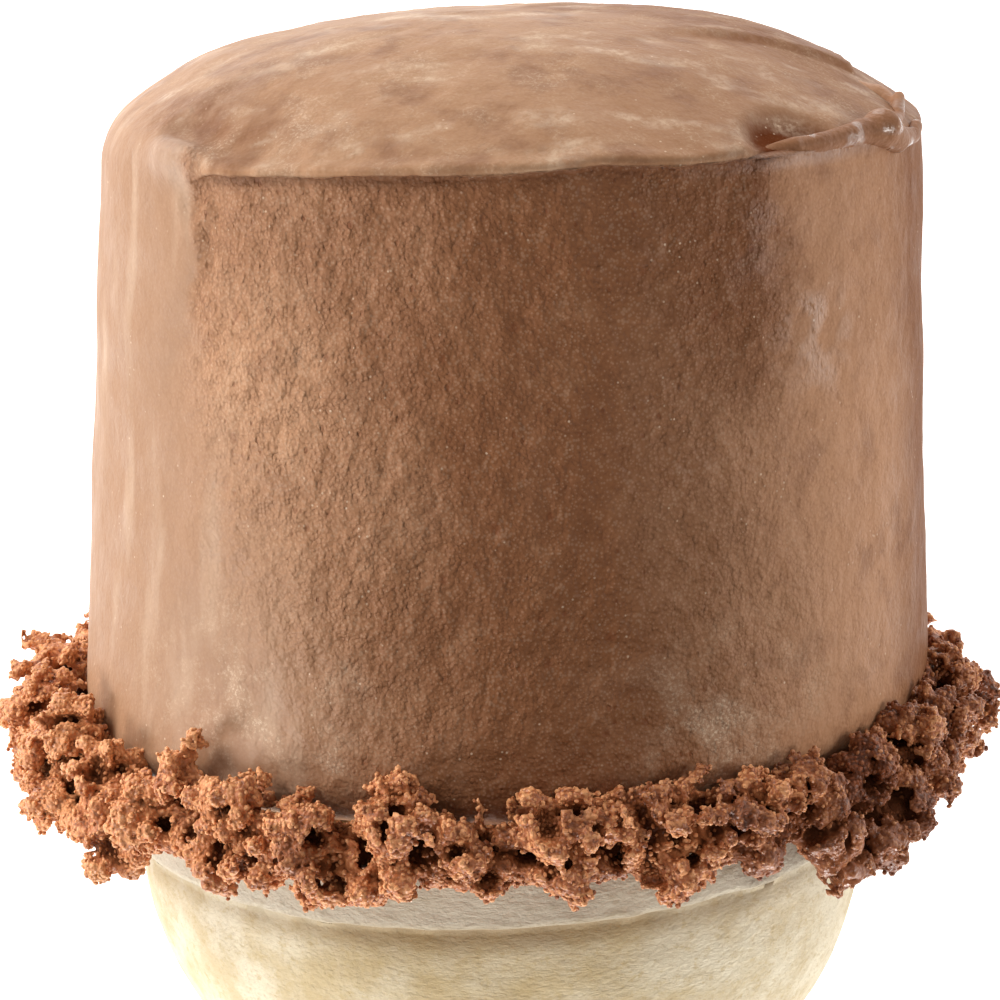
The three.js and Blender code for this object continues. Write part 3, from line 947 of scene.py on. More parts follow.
    def snow(self, graph: Graph, frosted: Any) -> Any:
        """Fine frost where the mask is, and a few white dots elsewhere, in patches, as painted glints.

        Args:
            graph: the material's graph.
            frosted: how thickly the frost lies.

        Returns:
            How much of the surface is white, from 0 to 1.
        """
        flake = graph.span(graph.noise(0.22, 2.0, 0.7), 0.48, 0.66, 0.25, 0.8)
        cover = graph.times(frosted, graph.span(graph.noise(3.0, 4.0, 0.6), 0.42, 0.68))
        cells = graph.cells(0.42)
        chosen = graph.above(graph.lots(cells)[1], 0.8)
        patch = graph.span(graph.noise(5.0, 3.0, 0.6), 0.46, 0.66, 0.05, 0.7)
        # White dots in a few cells: painted glints.
        painted_glint = graph.times(graph.span(cells["Distance"], 0.24, 0.1), chosen)
        return graph.greater(graph.times(cover, flake), graph.times(painted_glint, patch))

    def pores(self, graph: Graph, rough_side: Any, place: Any) -> Any:
        """Small ragged pores of many sizes, thick in some patches and sparse between them.

        Args:
            graph: the material's graph.
            rough_side: 1 where the side is rough.
            place: the coordinates that the pores are drawn on.

        Returns:
            1 inside the pores and 0 between them.
        """
        found = []
        for size, share in ((0.62, 0.6), (1.15, 0.72)):
            drift = graph.noise(0.4, 2.0, 0.6, place)
            cells = graph.cells(size, place)
            lots = graph.lots(cells)
            edge = graph.less(cells["Distance"], graph.times(lots[0], 0.2))
            edge = graph.plus(edge, graph.times(drift, 0.18))
            hole = graph.span(edge, 0.24, 0.06)
            found.append(graph.times(hole, graph.above(lots[1], share)))
        dense = graph.span(graph.noise(4.5, 3.0, 0.5), 0.36, 0.62, 0.25, 1.0)
        holes = graph.greater(found[0], found[1])
        return graph.times(holes, graph.times(dense, rough_side))


@dataclass(frozen=True)
class CrumbFinish:
    """Baked crumbs, golden with painted light on their open tips, with painted shade in their gaps and
    towards +X, and with sugar that sparkles.
    """

    tip: Colour = shade(238, 170, 116)
    body: Colour = shade(178, 104, 62)
    dark_tip_and_shade: Colour = shade(152, 84, 48)
    dark_tone_and_shade: Colour = shade(100, 52, 28)
    gap: Colour = shade(48, 20, 8)
    moist: Colour = shade(130, 78, 51)

    def make(self) -> bpy.types.Material:
        """Makes the material.

        Returns:
            The material.
        """
        graph = Graph("baked_crumbs")
        opened, fine = graph.mask("open"), graph.mask("fine")
        melted, tone = graph.mask("melted"), graph.mask("tone")
        # The tone mask is random tone, with painted shade towards +X, away from the key lamps; the colour
        # darkens with it.
        darker_share = graph.span(tone, 0.3, 1.0)
        colour = graph.coat_of(self.body, self.dark_tone_and_shade, darker_share)
        tip = graph.coat_of(self.tip, self.dark_tip_and_shade, darker_share)
        # Lighter on open, jutting tips: painted light.
        lit = graph.times(graph.span(fine, 0.49, 0.71), graph.span(opened, 0.4, 0.74, 0.1, 0.9))
        colour = graph.coat_of(colour, tip, lit)
        # Lighter where the tone is low, mostly on the left towards the key lamps: random tone and painted
        # light.
        colour = graph.coat_of(colour, tip, graph.span(tone, 0.3, -0.15, 0.0, 0.5))
        speckle = graph.span(graph.noise(0.3, 3.0, 0.65), 0.52, 0.75, 0.0, 0.35)
        colour = graph.coat_of(colour, tip, graph.times(speckle, graph.span(opened, 0.4, 0.6)))
        # Darker in narrow and deep gaps between the crumbs: painted shade.
        colour = graph.coat_of(colour, self.gap, graph.span(fine, 0.46, 0.3, 0.0, 0.5))
        colour = graph.coat_of(colour, self.gap, graph.span(opened, 0.58, 0.36, 0.0, 0.95))
        colour = graph.coat_of(colour, self.moist, graph.times(melted, 0.75))
        bead = graph.times(graph.cells(0.27)["Distance"], graph.span(melted, 0.2, 0.9, 1.0, 0.3))
        normal = graph.relief(graph.times(bead, -1.0), 0.12)
        normal = graph.relief(graph.noise(0.14, 2.0), 0.02, normal)
        rough = graph.span(melted, 0.1, 0.9, 0.44, 0.32)
        rough = graph.less(rough, graph.span(graph.noise(1.2, 2.0), 0.45, 0.65, 0.0, 0.12))
        graph.set(Base_Color=colour, Roughness=rough, Normal=normal)
        graph.set(Specular_IOR_Level=graph.span(opened, 0.46, 0.64, 0.02, 0.36))
        return graph.material


@dataclass(frozen=True)
class WaferFinish:
    """Pale baked wafer: papery on the rim band, baked darker in soft patches on the bowl and the stem, with
    painted shade on the bowl's front and under the ledge.
    """

    pale: Colour = shade(222, 211, 187)
    paper: Colour = shade(200, 190, 172)
    toast_and_shade: Colour = shade(188, 164, 118)
    scratch: Colour = shade(172, 156, 128)
    ledge_shadow: Colour = shade(134, 106, 66)

    def make(self) -> bpy.types.Material:
        """Makes the material.

        Returns:
            The material.
        """
        graph = Graph("pale_wafer")
        band, ledge_shadow = graph.mask("band"), graph.mask("ledge_shadow")
        patch = graph.noise(5.0, 5.0, 0.65)
        colour = graph.coat_of(self.pale, self.toast_and_shade, graph.span(patch, 0.4, 0.66, 0.1, 0.7))
        # Darker on the bowl's front, broken up by patches: painted shade.
        front_shaded = graph.times(graph.mask("front_shade"), graph.span(patch, 0.3, 0.6, 0.4, 0.8))
        colour = graph.coat_of(colour, self.toast_and_shade, front_shaded)
        fleck = graph.noise(0.7, 4.0, 0.75)
        colour = graph.coat_of(colour, self.toast_and_shade, graph.span(fleck, 0.5, 0.68, 0.0, 0.6))
        colour = graph.coat_of(colour, self.paper, graph.times(band, 0.85))
        line = graph.noise(0.9, 4.0, 0.65, graph.stretched((0.3, 1.0, 1.0), (0.0, 0.0, 0.5)))
        worn = graph.times(graph.span(line, 0.5, 0.7, 0.0, 0.55), band)
        colour = graph.coat_of(colour, self.scratch, worn)
        # Darker just under the rim band's ledge, most at the front: painted shadow.
        colour = graph.coat_of(colour, self.ledge_shadow, graph.times(ledge_shadow, 0.8))
        speck = graph.times(graph.span(graph.noise(0.26, 2.0, 0.6), 0.52, 0.72), 0.3)
        colour = graph.coat_of(colour, self.scratch, speck)
        normal = graph.relief(graph.noise(1.2, 4.0, 0.6), 0.12)
        normal = graph.relief(graph.times(line, band), 0.16, normal)
        fibre = graph.noise(0.3, 3.0, 0.65, graph.stretched((0.45, 1.0, 1.0), (0.0, 0.0, 0.4)))
        normal = graph.relief(fibre, 0.1, normal)
        graph.set(Base_Color=colour, Roughness=0.75, Normal=normal, Specular_IOR_Level=0.3)
        return graph.material


# ---- Ice cream ------------------------------------------------------------------------------------


# The crown's edge along the lip: degrees from the front, and millimetres above its tilted plane.
LIP_LINE = (
    (-70, 0.0), (-56, 0.31), (-50, 0.07), (-44, -0.32), (-38, -0.38), (-32, -0.23), (-26, -0.06), (-20, 0.12),
    (-14, 0.25), (-2, 0.34), (4, 0.37), (10, 0.7), (16, 0.53), (22, 0.44), (28, 0.61), (40, 0.72), (46, 0.7),
    (52, 0.6), (58, 0.42), (64, 0.17), (72, 0.0),
)


@dataclass
class IceCreamDrum:
    """The leaning drum of ice cream with its crown, the lip along the front and the plug below."""

    rest: Rest
    noise: LatticeNoise
    foot_level: float = 7.3
    lip_level: float = 48.3
    foot_radius: float = 29.3
    lip_radius: float = 27.4
    shift: float = 0.5
    lean: float = 2.1
    foot_tuck: float = 2.8
    foot_round: float = 3.6
    crown_radius: float = 27.0
    crown_rise: float = 6.9
    crown_power: float = 2.85
    crown_tilt: float = -0.77
    smear: float = 0.3
    shoulder_soft: float = 3.6
    shoulder_sharp: float = 0.55
    shoulder_sag: float = 1.4
    lip_overhang: float = 0.6
    lip_thickness: float = 0.85
    lip_thin: float = 0.33
    plug_end: float = -14.0
    plug: tuple[Pair, ...] = (
        (12.6, -13.6), (20.0, -12.2), (21.0, -11.6), (22.6, -6.0), (23.15, 0.0), (23.15, 6.4),
    )
    columns: int = 500
    foot_rows: int = 12
    side_rows: int = 115
    lip_rows: int = 6
    shoulder_rows: int = 15
    crown_rows: int = 42

    def unevenness(self, theta: Array, level: Array | float) -> Array:
        """Slow unevenness: a wide and a narrow wave round the drum that drift as they climb.

        Args:
            theta: angles round the axis.
            level: heights.

        Returns:
            The unevenness, from -1 to 1.
        """
        wide = np.sin(2.0 * theta + 0.09 * level + 0.7)
        narrow = np.sin(5.0 * theta - 0.13 * level + 2.1)
        return 0.6 * wide + 0.4 * narrow

    def climb(self, level: Array) -> Array:
        """Share of the way up the drum's side."""
        return np.clip((level - self.foot_level) / (self.lip_level - self.foot_level), 0.0, 1.0)

    def side_radius(self, level: Array) -> Array:
        """Radius of the drum's side at a height."""
        return mix(self.foot_radius, self.lip_radius, self.climb(level))

    def middle(self, level: Array) -> Array:
        """How far the drum's middle stands off the axis at a height."""
        return self.shift + self.lean * self.climb(level)

    def crown_level(self, theta: Array, reach: Array) -> Array:
        """Height of the crown: a flat-topped cap, with its edge tilted and uneven.

        Args:
            theta: angles round the axis.
            reach: distances from the drum's middle.

        Returns:
            The heights.
        """
        share = reach / self.crown_radius
        tilt = self.crown_tilt * np.cos(theta) + self.smear * self.unevenness(theta, 0.0)
        wave = np.interp(self.bearing_of(theta), *np.array(LIP_LINE).T)
        rise = self.crown_rise * (1.0 - share**self.crown_power)
        return self.lip_level + tilt * share + wave * share**8 + rise

    @staticmethod
    def bearing_of(theta: Array) -> Array:
        """Degrees from the front towards +X for an angle round the axis."""
        return np.degrees(np.arctan2(np.cos(theta), -np.sin(theta)))

    def lipped(self, theta: Array) -> Array:
        """1 where the scraped edge hangs over the side, 0 where the edge melted away."""
        bearing = self.bearing_of(theta)
        return ease(-47.0, -41.0, bearing) * ease(74.0, 60.0, bearing)

    def shoulder(self, theta: Array) -> Array:
        """Rounding of the top edge: soft where it melted, sharp where it was scraped."""
        return mix(self.shoulder_sharp, self.shoulder_soft, facing(theta, math.pi, 1.1))

    def overhang(self, theta: Array) -> Array:
        """How far the scraped edge hangs out: all along the front, in a ragged line.

        Args:
            theta: angles round the axis.

        Returns:
            The overhang in millimetres.
        """
        bearing = self.bearing_of(theta)
        ring = np.stack([5.0 * np.cos(theta), 5.0 * np.sin(theta), 0.0 * theta], axis=-1)
        ragged = 1.0 + 0.6 * self.noise.layers(ring, 4)
        share = 1.0 - 0.3 * ease(-6.0, 8.0, bearing) - 0.45 * ease(22.0, 32.0, bearing)
        return self.lip_overhang * ragged * share * self.lipped(theta)

    def rings(self) -> tuple[Array, Array, Array]:
        """The rings of the smooth drum, from the plug's end up to the crown's middle.

        The foot is a quarter round, the side a straight taper, the lip a quarter round that swells
        out, the shoulder a cubic curve from upright to the crown's slope, and the crown a cap.

        Returns:
            Points by ring, column and axis, how far each belongs to the crown, and how much painted
            shadow falls on it just under the lip.
        """
        theta = np.arange(self.columns) / self.columns * TURN
        cos, sin = np.cos(theta), np.sin(theta)

        def ring(radius: Array, level: Array, middle: Array) -> Array:
            """A ring of the given radii and heights round a middle that is off the axis."""
            return np.stack([middle + radius * cos, radius * sin, level + 0.0 * theta], axis=-1)

        found: list[Array] = []
        for radius, level in self.plug:
            found.append(ring(radius + 0.0 * theta, level, 0.0 * theta))
        found.append(ring(25.2 + 0.0 * theta, self.foot_level - 0.2, self.middle(0.0 * theta)))
        for angle in np.linspace(0.0, math.pi / 2, self.foot_rows):
            level = self.foot_level + self.foot_round * (1.0 - math.cos(angle)) + 0.0 * theta
            inset = self.foot_tuck * (1.0 - math.sin(angle))
            radius = self.side_radius(level) - inset + self.smear * self.unevenness(theta, level)
            found.append(ring(radius, level, self.middle(level)))

        round_ = self.shoulder(theta)
        reach = self.lip_radius - round_
        edge = self.crown_level(theta, reach)
        drop = self.shoulder_sag * round_
        thick = mix(self.lip_thickness, self.lip_thin, self.lipped(theta))
        under = edge - drop - thick
        foot_end = self.foot_level + self.foot_round
        for share in np.linspace(0.0, 1.0, self.side_rows + 1)[1:]:
            level = mix(foot_end, under, share)
            radius = self.side_radius(level) + self.smear * self.unevenness(theta, level)
            found.append(ring(radius, level, self.middle(level)))

        out = self.overhang(theta)
        for angle in np.linspace(0.0, math.pi / 2, self.lip_rows + 1)[1:]:
            level = under + 0.875 * thick * (1.0 - math.cos(angle))
            radius = self.side_radius(level) + self.smear * self.unevenness(theta, level)
            found.append(ring(radius + out * math.sin(angle), level, self.middle(level)))

        start = np.stack([radius + out, level], axis=-1)
        end = np.stack([reach, edge], axis=-1)
        slope = (self.crown_level(theta, reach + 0.1) - edge) / 0.1
        away = np.stack([np.ones_like(slope), slope], axis=-1)
        away /= np.linalg.norm(away, axis=-1, keepdims=True)
        pull_up = start + np.stack([0.0 * theta, 0.6 * (edge - level)], axis=-1)
        pull_out = end + away * (0.55 * (radius + out - reach))[:, None]
        for share in np.linspace(0.0, 1.0, self.shoulder_rows + 1)[1:]:
            rest = 1.0 - share
            curve = rest**3 * start + 3 * rest**2 * share * pull_up
            curve = curve + 3 * rest * share**2 * pull_out + share**3 * end
            found.append(ring(curve[:, 0], curve[:, 1], self.middle(curve[:, 1])))

        lip_start = len(found) - self.lip_rows - self.shoulder_rows
        for share in np.linspace(1.0, 0.0, self.crown_rows + 2)[1:-1]:
            near = reach * share
            found.append(ring(near, self.crown_level(theta, near), self.shift + self.lean))
        rings = np.stack(found)
        row = np.arange(len(rings), dtype=float)[:, None]
        lipped = self.lipped(theta)
        crown = ease(lip_start + 0.5, lip_start + 4.0, row)
        crown = mix(ease(lip_start + 7.0, lip_start + 17.0, row), crown, lipped)
        # The mask of the painted shadow just under the lip's overhang.
        under_lip_shadow = ease(lip_start - 4.0, lip_start, row) * ease(lip_start + 2.5, lip_start + 0.5, row)
        return rings, crown, under_lip_shadow * lipped * ease(-45.0, -38.0, self.bearing_of(theta))

    @staticmethod
    def from_spot(x: Array, y: Array, spot: Pair, turn: float, sizes: Pair) -> Array:
        """Distance from a spot on the crown, in its half-sizes.

        Args:
            x: places across the crown.
            y: places from front to back.
            spot: the spot's middle.
            turn: degrees from the x axis to the spot's long side.
            sizes: its half-sizes, along the long side and across it.

        Returns:
            The distances: 1 at the spot's edge.
        """
        run, wide = math.cos(math.radians(turn)), math.sin(math.radians(turn))
        along = (x - spot[0]) * run + (y - spot[1]) * wide
        across = (y - spot[1]) * run - (x - spot[0]) * wide
        return np.hypot(along / sizes[0], across / sizes[1])

    def crown_relief(self, x: Array, y: Array) -> Array:
        """Relief of the crown: slanting sweeps of the scraper, a swell, and a scraped layer's edge.

        Args:
            x: places across the crown.
            y: places from front to back.

        Returns:
            The relief in millimetres.
        """
        sweep = 0.75
        run = x * math.cos(sweep) + y * math.sin(sweep)
        across = y * math.cos(sweep) - x * math.sin(sweep)
        swept = np.stack([run / 5.0, across / 2.2, 0.0 * x], axis=-1).reshape(-1, 3)
        sweeps = 0.08 * self.noise.layers(swept, 3).reshape(x.shape)
        swell = 0.4 * (1.0 - ease(0.0, 1.0, np.hypot((x + 17.5) / 7.0, (y + 2.0) / 9.0)))
        layer = ease(0.0, 0.5, y + 5.5 + 0.3 * (24.0 - x)) * ease(25.1, 24.7, x) * ease(10.0, 17.0, x)
        return sweeps + swell + 0.4 * layer * ease(9.0, 4.0, y)

    def build(self, finish: bpy.types.Material) -> bpy.types.Object:
        """Builds the drum and dresses it.

        Args:
            finish: the ice cream's material.

        Returns:
            The drum's object.
        """
        rings, crown, under_lip_shadow = self.rings()
        shape = rings.shape[:2]
        flat = rings.reshape(-1, 3)
        x, y, z = rings[..., 0], rings[..., 1], rings[..., 2]
        bearing = np.degrees(np.arctan2(x - self.middle(z), -y))
        theta = np.arctan2(y, x - self.middle(z))

        def waves(size: Triple) -> Array:
            """Noise on the drum with features of about the given size along x, y and z."""
            return self.noise.layers(flat / np.array(size), 2).reshape(shape)

        above = ease(8.0, 12.0, z)
        side = (1.0 - crown) * above
        edge_wander = 1.6 * waves((3.0, 3.0, 3.0)) + 3.0 * waves((9.0, 9.0, 9.0))
        sharp = ease(28.0, 40.0, z)
        border = -46.0 + 22.0 * (1.0 - ease(12.0, 38.0, z))
        width = mix(17.0, 1.6, sharp)
        melted = ease(border + width, border - width, bearing + edge_wander)
        melted = melted * ease(-165.0, -140.0, bearing)
        turned = bearing + 4.0 * waves((5.0, 5.0, 7.0))
        smeared = ease(mix(18.0, 30.0, sharp), mix(46.0, 42.0, sharp), turned) * ease(150.0, 125.0, bearing)
        porous = (1.0 - melted) * (1.0 - 0.75 * smeared)
        # Paler towards the left, where the key lamps fall, and in a patch low on the right side: painted
        # light.
        pale = ease(-4.0, -36.0, bearing + 7.0 * waves((6.0, 6.0, 6.0))) * (1.0 - 0.5 * ease(36.0, 44.0, z))
        pale = pale + 0.36 * ease(8.0, 24.0, turned) * ease(42.0, 32.0, z)

        lumpy = 0.15 * waves((10.0, 10.0, 10.0)) + 0.06 * waves((4.0, 4.0, 5.0))
        streaks = 0.035 * waves((2.4, 2.4, 13.0)) * (melted + 0.6 * smeared)
        coarse = 0.1 * waves((1.1, 1.1, 1.5)) + 0.07 * waves((2.2, 2.2, 2.8))
        gap, lot = self.noise.beads(flat / np.array((1.0, 1.0, 1.7)))
        dent = np.clip(1.0 - (gap / 0.4) ** 2, 0.0, 1.0) ** 2 * (lot > 0.6)
        dent = dent.reshape(shape) * ease(-0.1, 0.5, waves((5.0, 5.0, 8.0)))
        grooves = facing(theta, math.radians(-134.0), 0.12) * ease(40.0, 42.5, z) * ease(48.5, 46.5, z)
        step = 0.16 * melted * sharp - 0.25 * grooves * ease(0.2, -0.3, waves((1.6, 1.6, 4.0)))
        height = above * lumpy + side * (streaks + step + porous * (coarse - 0.16 * dent))
        height = height + crown * self.crown_relief(x, y)

        dip = crown * (1.0 - ease(0.5, 1.0, self.from_spot(x, y, (19.3, -20.8), 42.0, (4.6, 2.5))))
        notch = crown * (1.0 - ease(0.15, 1.0, self.from_spot(x, y, (-17.0, -16.6), -50.0, (3.6, 2.0))))
        ridge = 1.0 - ease(0.1, 1.0, self.from_spot(x, y, (-18.4, -17.5), -50.0, (4.4, 0.8)))
        ridge = ridge * ease(46.0, 48.0, z)
        height = height - 0.8 * dip - 0.5 * notch + 0.42 * ridge
        # A darker spot in the notch on the crown's left: painted shade, laid on through the shaded mask.
        from_notch_shade = self.from_spot(x, y, (-16.2, -16.8), -50.0, (9.0, 3.2)) + 0.4 * waves((2.0, 4.0, 4.0))
        notch_shade = crown * (1.0 - ease(0.3, 1.1, from_notch_shade))

        rings = rings + height[..., None] * outward_of_rings(rings)
        rings[..., 1] = np.minimum(rings[..., 1], self.rest.floor_depth())
        bottom = np.array([0.0, 0.0, self.plug_end])
        top = rings[-1].mean(axis=0)
        low_left = facing(theta, math.radians(-125.0), 0.5) * ease(24.0, 14.0, z)
        low_right = facing(theta, math.radians(-62.0), 0.4) * ease(22.0, 12.0, z)
        frosted = np.clip(low_left + low_right + 0.4 * crown * (1.0 - dip) + 0.25 * pale * porous, 0.0, 1.0)
        lip = facing(theta, math.radians(-50.0), 0.45) * ease(46.2, 46.8, z) * (1.0 - ease(47.6, 48.2, z))
        beside = facing(theta, math.radians(-48.0), 0.2) * ease(31.0, 34.5, z) * ease(40.5, 37.0, z)
        beneath = facing(theta, math.radians(-59.0), 0.12) * ease(38.0, 41.0, z) * ease(46.0, 44.0, z)
        crinkled = np.clip(beside + 0.7 * beneath, 0.0, 1.0) * ease(-0.3, 0.3, waves((2.0, 2.0, 2.0)))
        wet = np.clip(0.5 * lip * (1.0 - crown) + 0.3 * ridge + 0.5 * crinkled, 0.0, 1.0)
        # The shaded mask is painted shade: the right edge, the notch, the crown towards +X and patches high
        # on the right side.
        rim_dark = ease(54.0, 72.0, bearing) * ease(160.0, 130.0, bearing) * (1.0 - 0.6 * crown)
        band = facing(theta, math.radians(-59.0), 0.26) * ease(30.0, 35.0, z) * (1.0 - crown)
        high = smeared * ease(30.0, 37.0, z) * (1.0 - crown)
        far = crown * ease(2.0, 16.0, x)
        shaded = rim_dark + 0.75 * notch_shade + 0.55 * band * (1.0 - smeared) + 0.2 * high + 0.36 * far
        shaded = np.clip(shaded, 0.0, 1.0)
        masks = {
            "melted": melted,
            "crown": crown,
            "dip": dip,
            "frosted": frosted,
            "wet": wet,
            "smeared": smeared,
            "under_lip_shadow": under_lip_shadow,
            "shaded": shaded,
            "pale": pale,
            "crinkled": crinkled,
        }
        return skin_of_rings(rings, bottom, top, masks).build("ice_cream_drum", self.rest, finish)


@dataclass
class CornerCurl:
    """The curl of half-melted ice cream at the drum's corner, where the scraper left it."""

    rest: Rest
    drum: IceCreamDrum
    step: float = 0.12
    seed_bearing: float = 57.6
    wrinkle: float = 0.1
    wrinkle_width: float = 2.2

    def spot(self, bearing: float, radius: float, level: float) -> Array:
        """A point near the corner.

        Args:
            bearing: degrees from the front towards +X.
            radius: distance from the drum's middle.
            level: height.

        Returns:
            The point in upright millimetres.
        """
        angle = math.radians(bearing)
        middle = float(self.drum.middle(np.array(self.drum.lip_level)))
        return np.array([middle + radius * math.sin(angle), -radius * math.cos(angle), level])

    def build(self, finish: bpy.types.Material) -> bpy.types.Object:
        """Builds the curl and dresses it.

        A hump lies on the lip, drops along it and ends in a small horn. A roll lies on the shoulder
        behind it, and a thin ridge runs along the lip towards the front. Each rod is given by its
        ends, as bearing, radius and height, the radius at each end, and how widely it melts in.

        Args:
            finish: the ice cream's material.

        Returns:
            The curl's object.
        """
        rods = [
            ((53.5, 26.9, 47.8), (57.6, 27.2, 47.8), (0.75, 1.25), 0.5),
            ((57.6, 27.2, 47.8), (61.5, 27.4, 46.9), (1.25, 0.85), 0.12),
            ((61.5, 27.4, 46.9), (67.0, 27.6, 46.85), (0.8, 0.5), 0.12),
            ((67.0, 27.6, 46.85), (69.3, 27.6, 47.35), (0.5, 0.4), 0.08),
            ((62.0, 26.8, 47.6), (68.5, 26.5, 47.9), (0.8, 0.46), 0.3),
            ((68.5, 26.5, 47.9), (72.5, 26.2, 49.0), (0.42, 0.34), 0.08),
            ((70.5, 25.8, 47.6), (73.5, 25.4, 48.0), (0.7, 1.1), 0.4),
            ((73.5, 25.4, 48.0), (75.0, 24.4, 48.4), (1.1, 1.4), 0.08),
            ((75.0, 24.4, 48.4), (73.0, 23.0, 48.9), (1.4, 1.25), 0.08),
            ((73.0, 23.0, 48.9), (66.0, 21.6, 49.5), (1.25, 0.5), 0.08),
            ((34.5, 26.2, 47.5), (39.0, 26.8, 47.65), (0.3, 0.58), 0.2),
            ((39.0, 26.8, 47.65), (44.0, 26.85, 47.65), (0.58, 0.64), 0.05),
            ((44.0, 26.85, 47.65), (49.8, 26.85, 47.7), (0.64, 0.72), 0.05),
            ((49.8, 26.85, 47.7), (53.5, 26.8, 47.8), (0.72, 0.88), 0.1),
        ]
        ends = np.array([self.spot(*end) for rod in rods for end in rod[:2]])
        block = Block(ends.min(axis=0) - 2.0, ends.max(axis=0) + 2.0, self.step)
        for start, end, radii, blend in rods:
            block.add_rod(self.spot(*start), self.spot(*end), radii, blend)
        near = np.argwhere(np.abs(block.distance) < 0.8)
        places = block.places(near)
        wrinkles = self.wrinkle * self.drum.noise.waves(places / self.wrinkle_width)
        block.distance[tuple(near.T)] += wrinkles.astype(np.float32)
        middle = self.spot(self.seed_bearing, 27.2, 47.7)
        gaps = [place - part for place, part in zip(block.axes(), middle)]
        block.keep_joined(sum(gap * gap for gap in gaps) < 0.2)
        skin = block.skin()
        blank = np.zeros(len(skin.points))
        level = skin.points[:, 2]
        for label in ("melted", "dip", "under_lip_shadow", "crinkled", "pale", "crown", "frosted"):
            skin.masks[label] = blank
        skin.masks["smeared"] = blank + 1.0
        spots = ease(0.1, 0.42, self.drum.noise.waves(skin.points / 1.2))
        skin.masks["wet"] = 0.1 + 0.9 * spots * ease(49.4, 48.4, level)
        skin.masks["shaded"] = 0.8 - 0.6 * ease(48.4, 49.6, level)
        return skin.build("corner_curl", self.rest, finish)


# ---- Crumbs ---------------------------------------------------------------------------------------


class Clump:
    """One clump of crumbs: where it sits round the collar and how big it is."""

    RING = 30.9

    def __init__(self, bearing: float, level: float, size: float, out: float = 0.0) -> None:
        """Places the clump.

        Args:
            bearing: degrees from the front, towards +X.
            level: height above the ledge in millimetres.
            size: mean half-size in millimetres.
            out: how far its middle lies outside the ring of the others, in millimetres.
        """
        angle = math.radians(bearing)
        radius = self.RING + out
        self.bearing = bearing
        self.size = size
        self.centre = np.array([radius * math.sin(angle), -radius * math.cos(angle), level])


# Each clump in sight: its bearing, level, mean half-size and how far out it lies.
SHOWN_CLUMPS = (
    (-118, 8.0, 2.4), (-109, 9.6, 2.3), (-102, 7.8, 2.4, 0.8), (-96, 10.0, 2.3, 0.3), (-90, 7.6, 2.5, 1.4),
    (-83, 9.8, 2.4, 0.9), (-80, 5.4, 2.4, 0.8), (-73, 7.8, 2.6, 0.6), (-66, 10.2, 2.2), (-66, 5.6, 2.3, 0.9),
    (-59, 4.7, 1.6, 0.4), (-56, 8.2, 2.5), (-53, 4.4, 2.2, 0.4), (-47, 7.0, 2.5), (-41, 10.4, 1.5, -0.4),
    (-38, 12.0, 0.8, -0.8), (-33, 8.9, 2.5), (-36, 5.2, 1.8), (-29, 6.2, 2.0), (-23.4, 7.6, 2.5),
    (-21, 4.6, 1.7), (-15, 4.9, 1.4), (-12, 9.2, 2.6), (-12.5, 6.2, 1.6), (-4.6, 7.4, 2.1), (-1.2, 5.9, 1.4),
    (4.9, 8.2, 2.3), (10, 8.0, 2.1), (7, 5.3, 1.8), (17, 8.4, 2.3), (23.5, 7.5, 2.5), (20.5, 4.8, 1.9),
    (30, 7.9, 2.3), (31, 5.0, 1.6), (38, 8.2, 2.1), (40, 5.0, 2.4), (44, 2.3, 1.8), (50.5, 2.8, 2.1, 0.6),
    (49, 7.4, 2.4), (56, 4.4, 2.2, 0.2), (59, 8.6, 2.2), (64, 5.4, 2.4), (70, 8.0, 2.3),
    (76, 5.6, 2.4, 0.3), (82, 8.4, 2.1, 0.2), (88, 6.2, 2.5, 1.8), (97, 7.8, 2.2, 0.1), (105, 5.0, 2.4),
    (114, 6.6, 2.3),
)


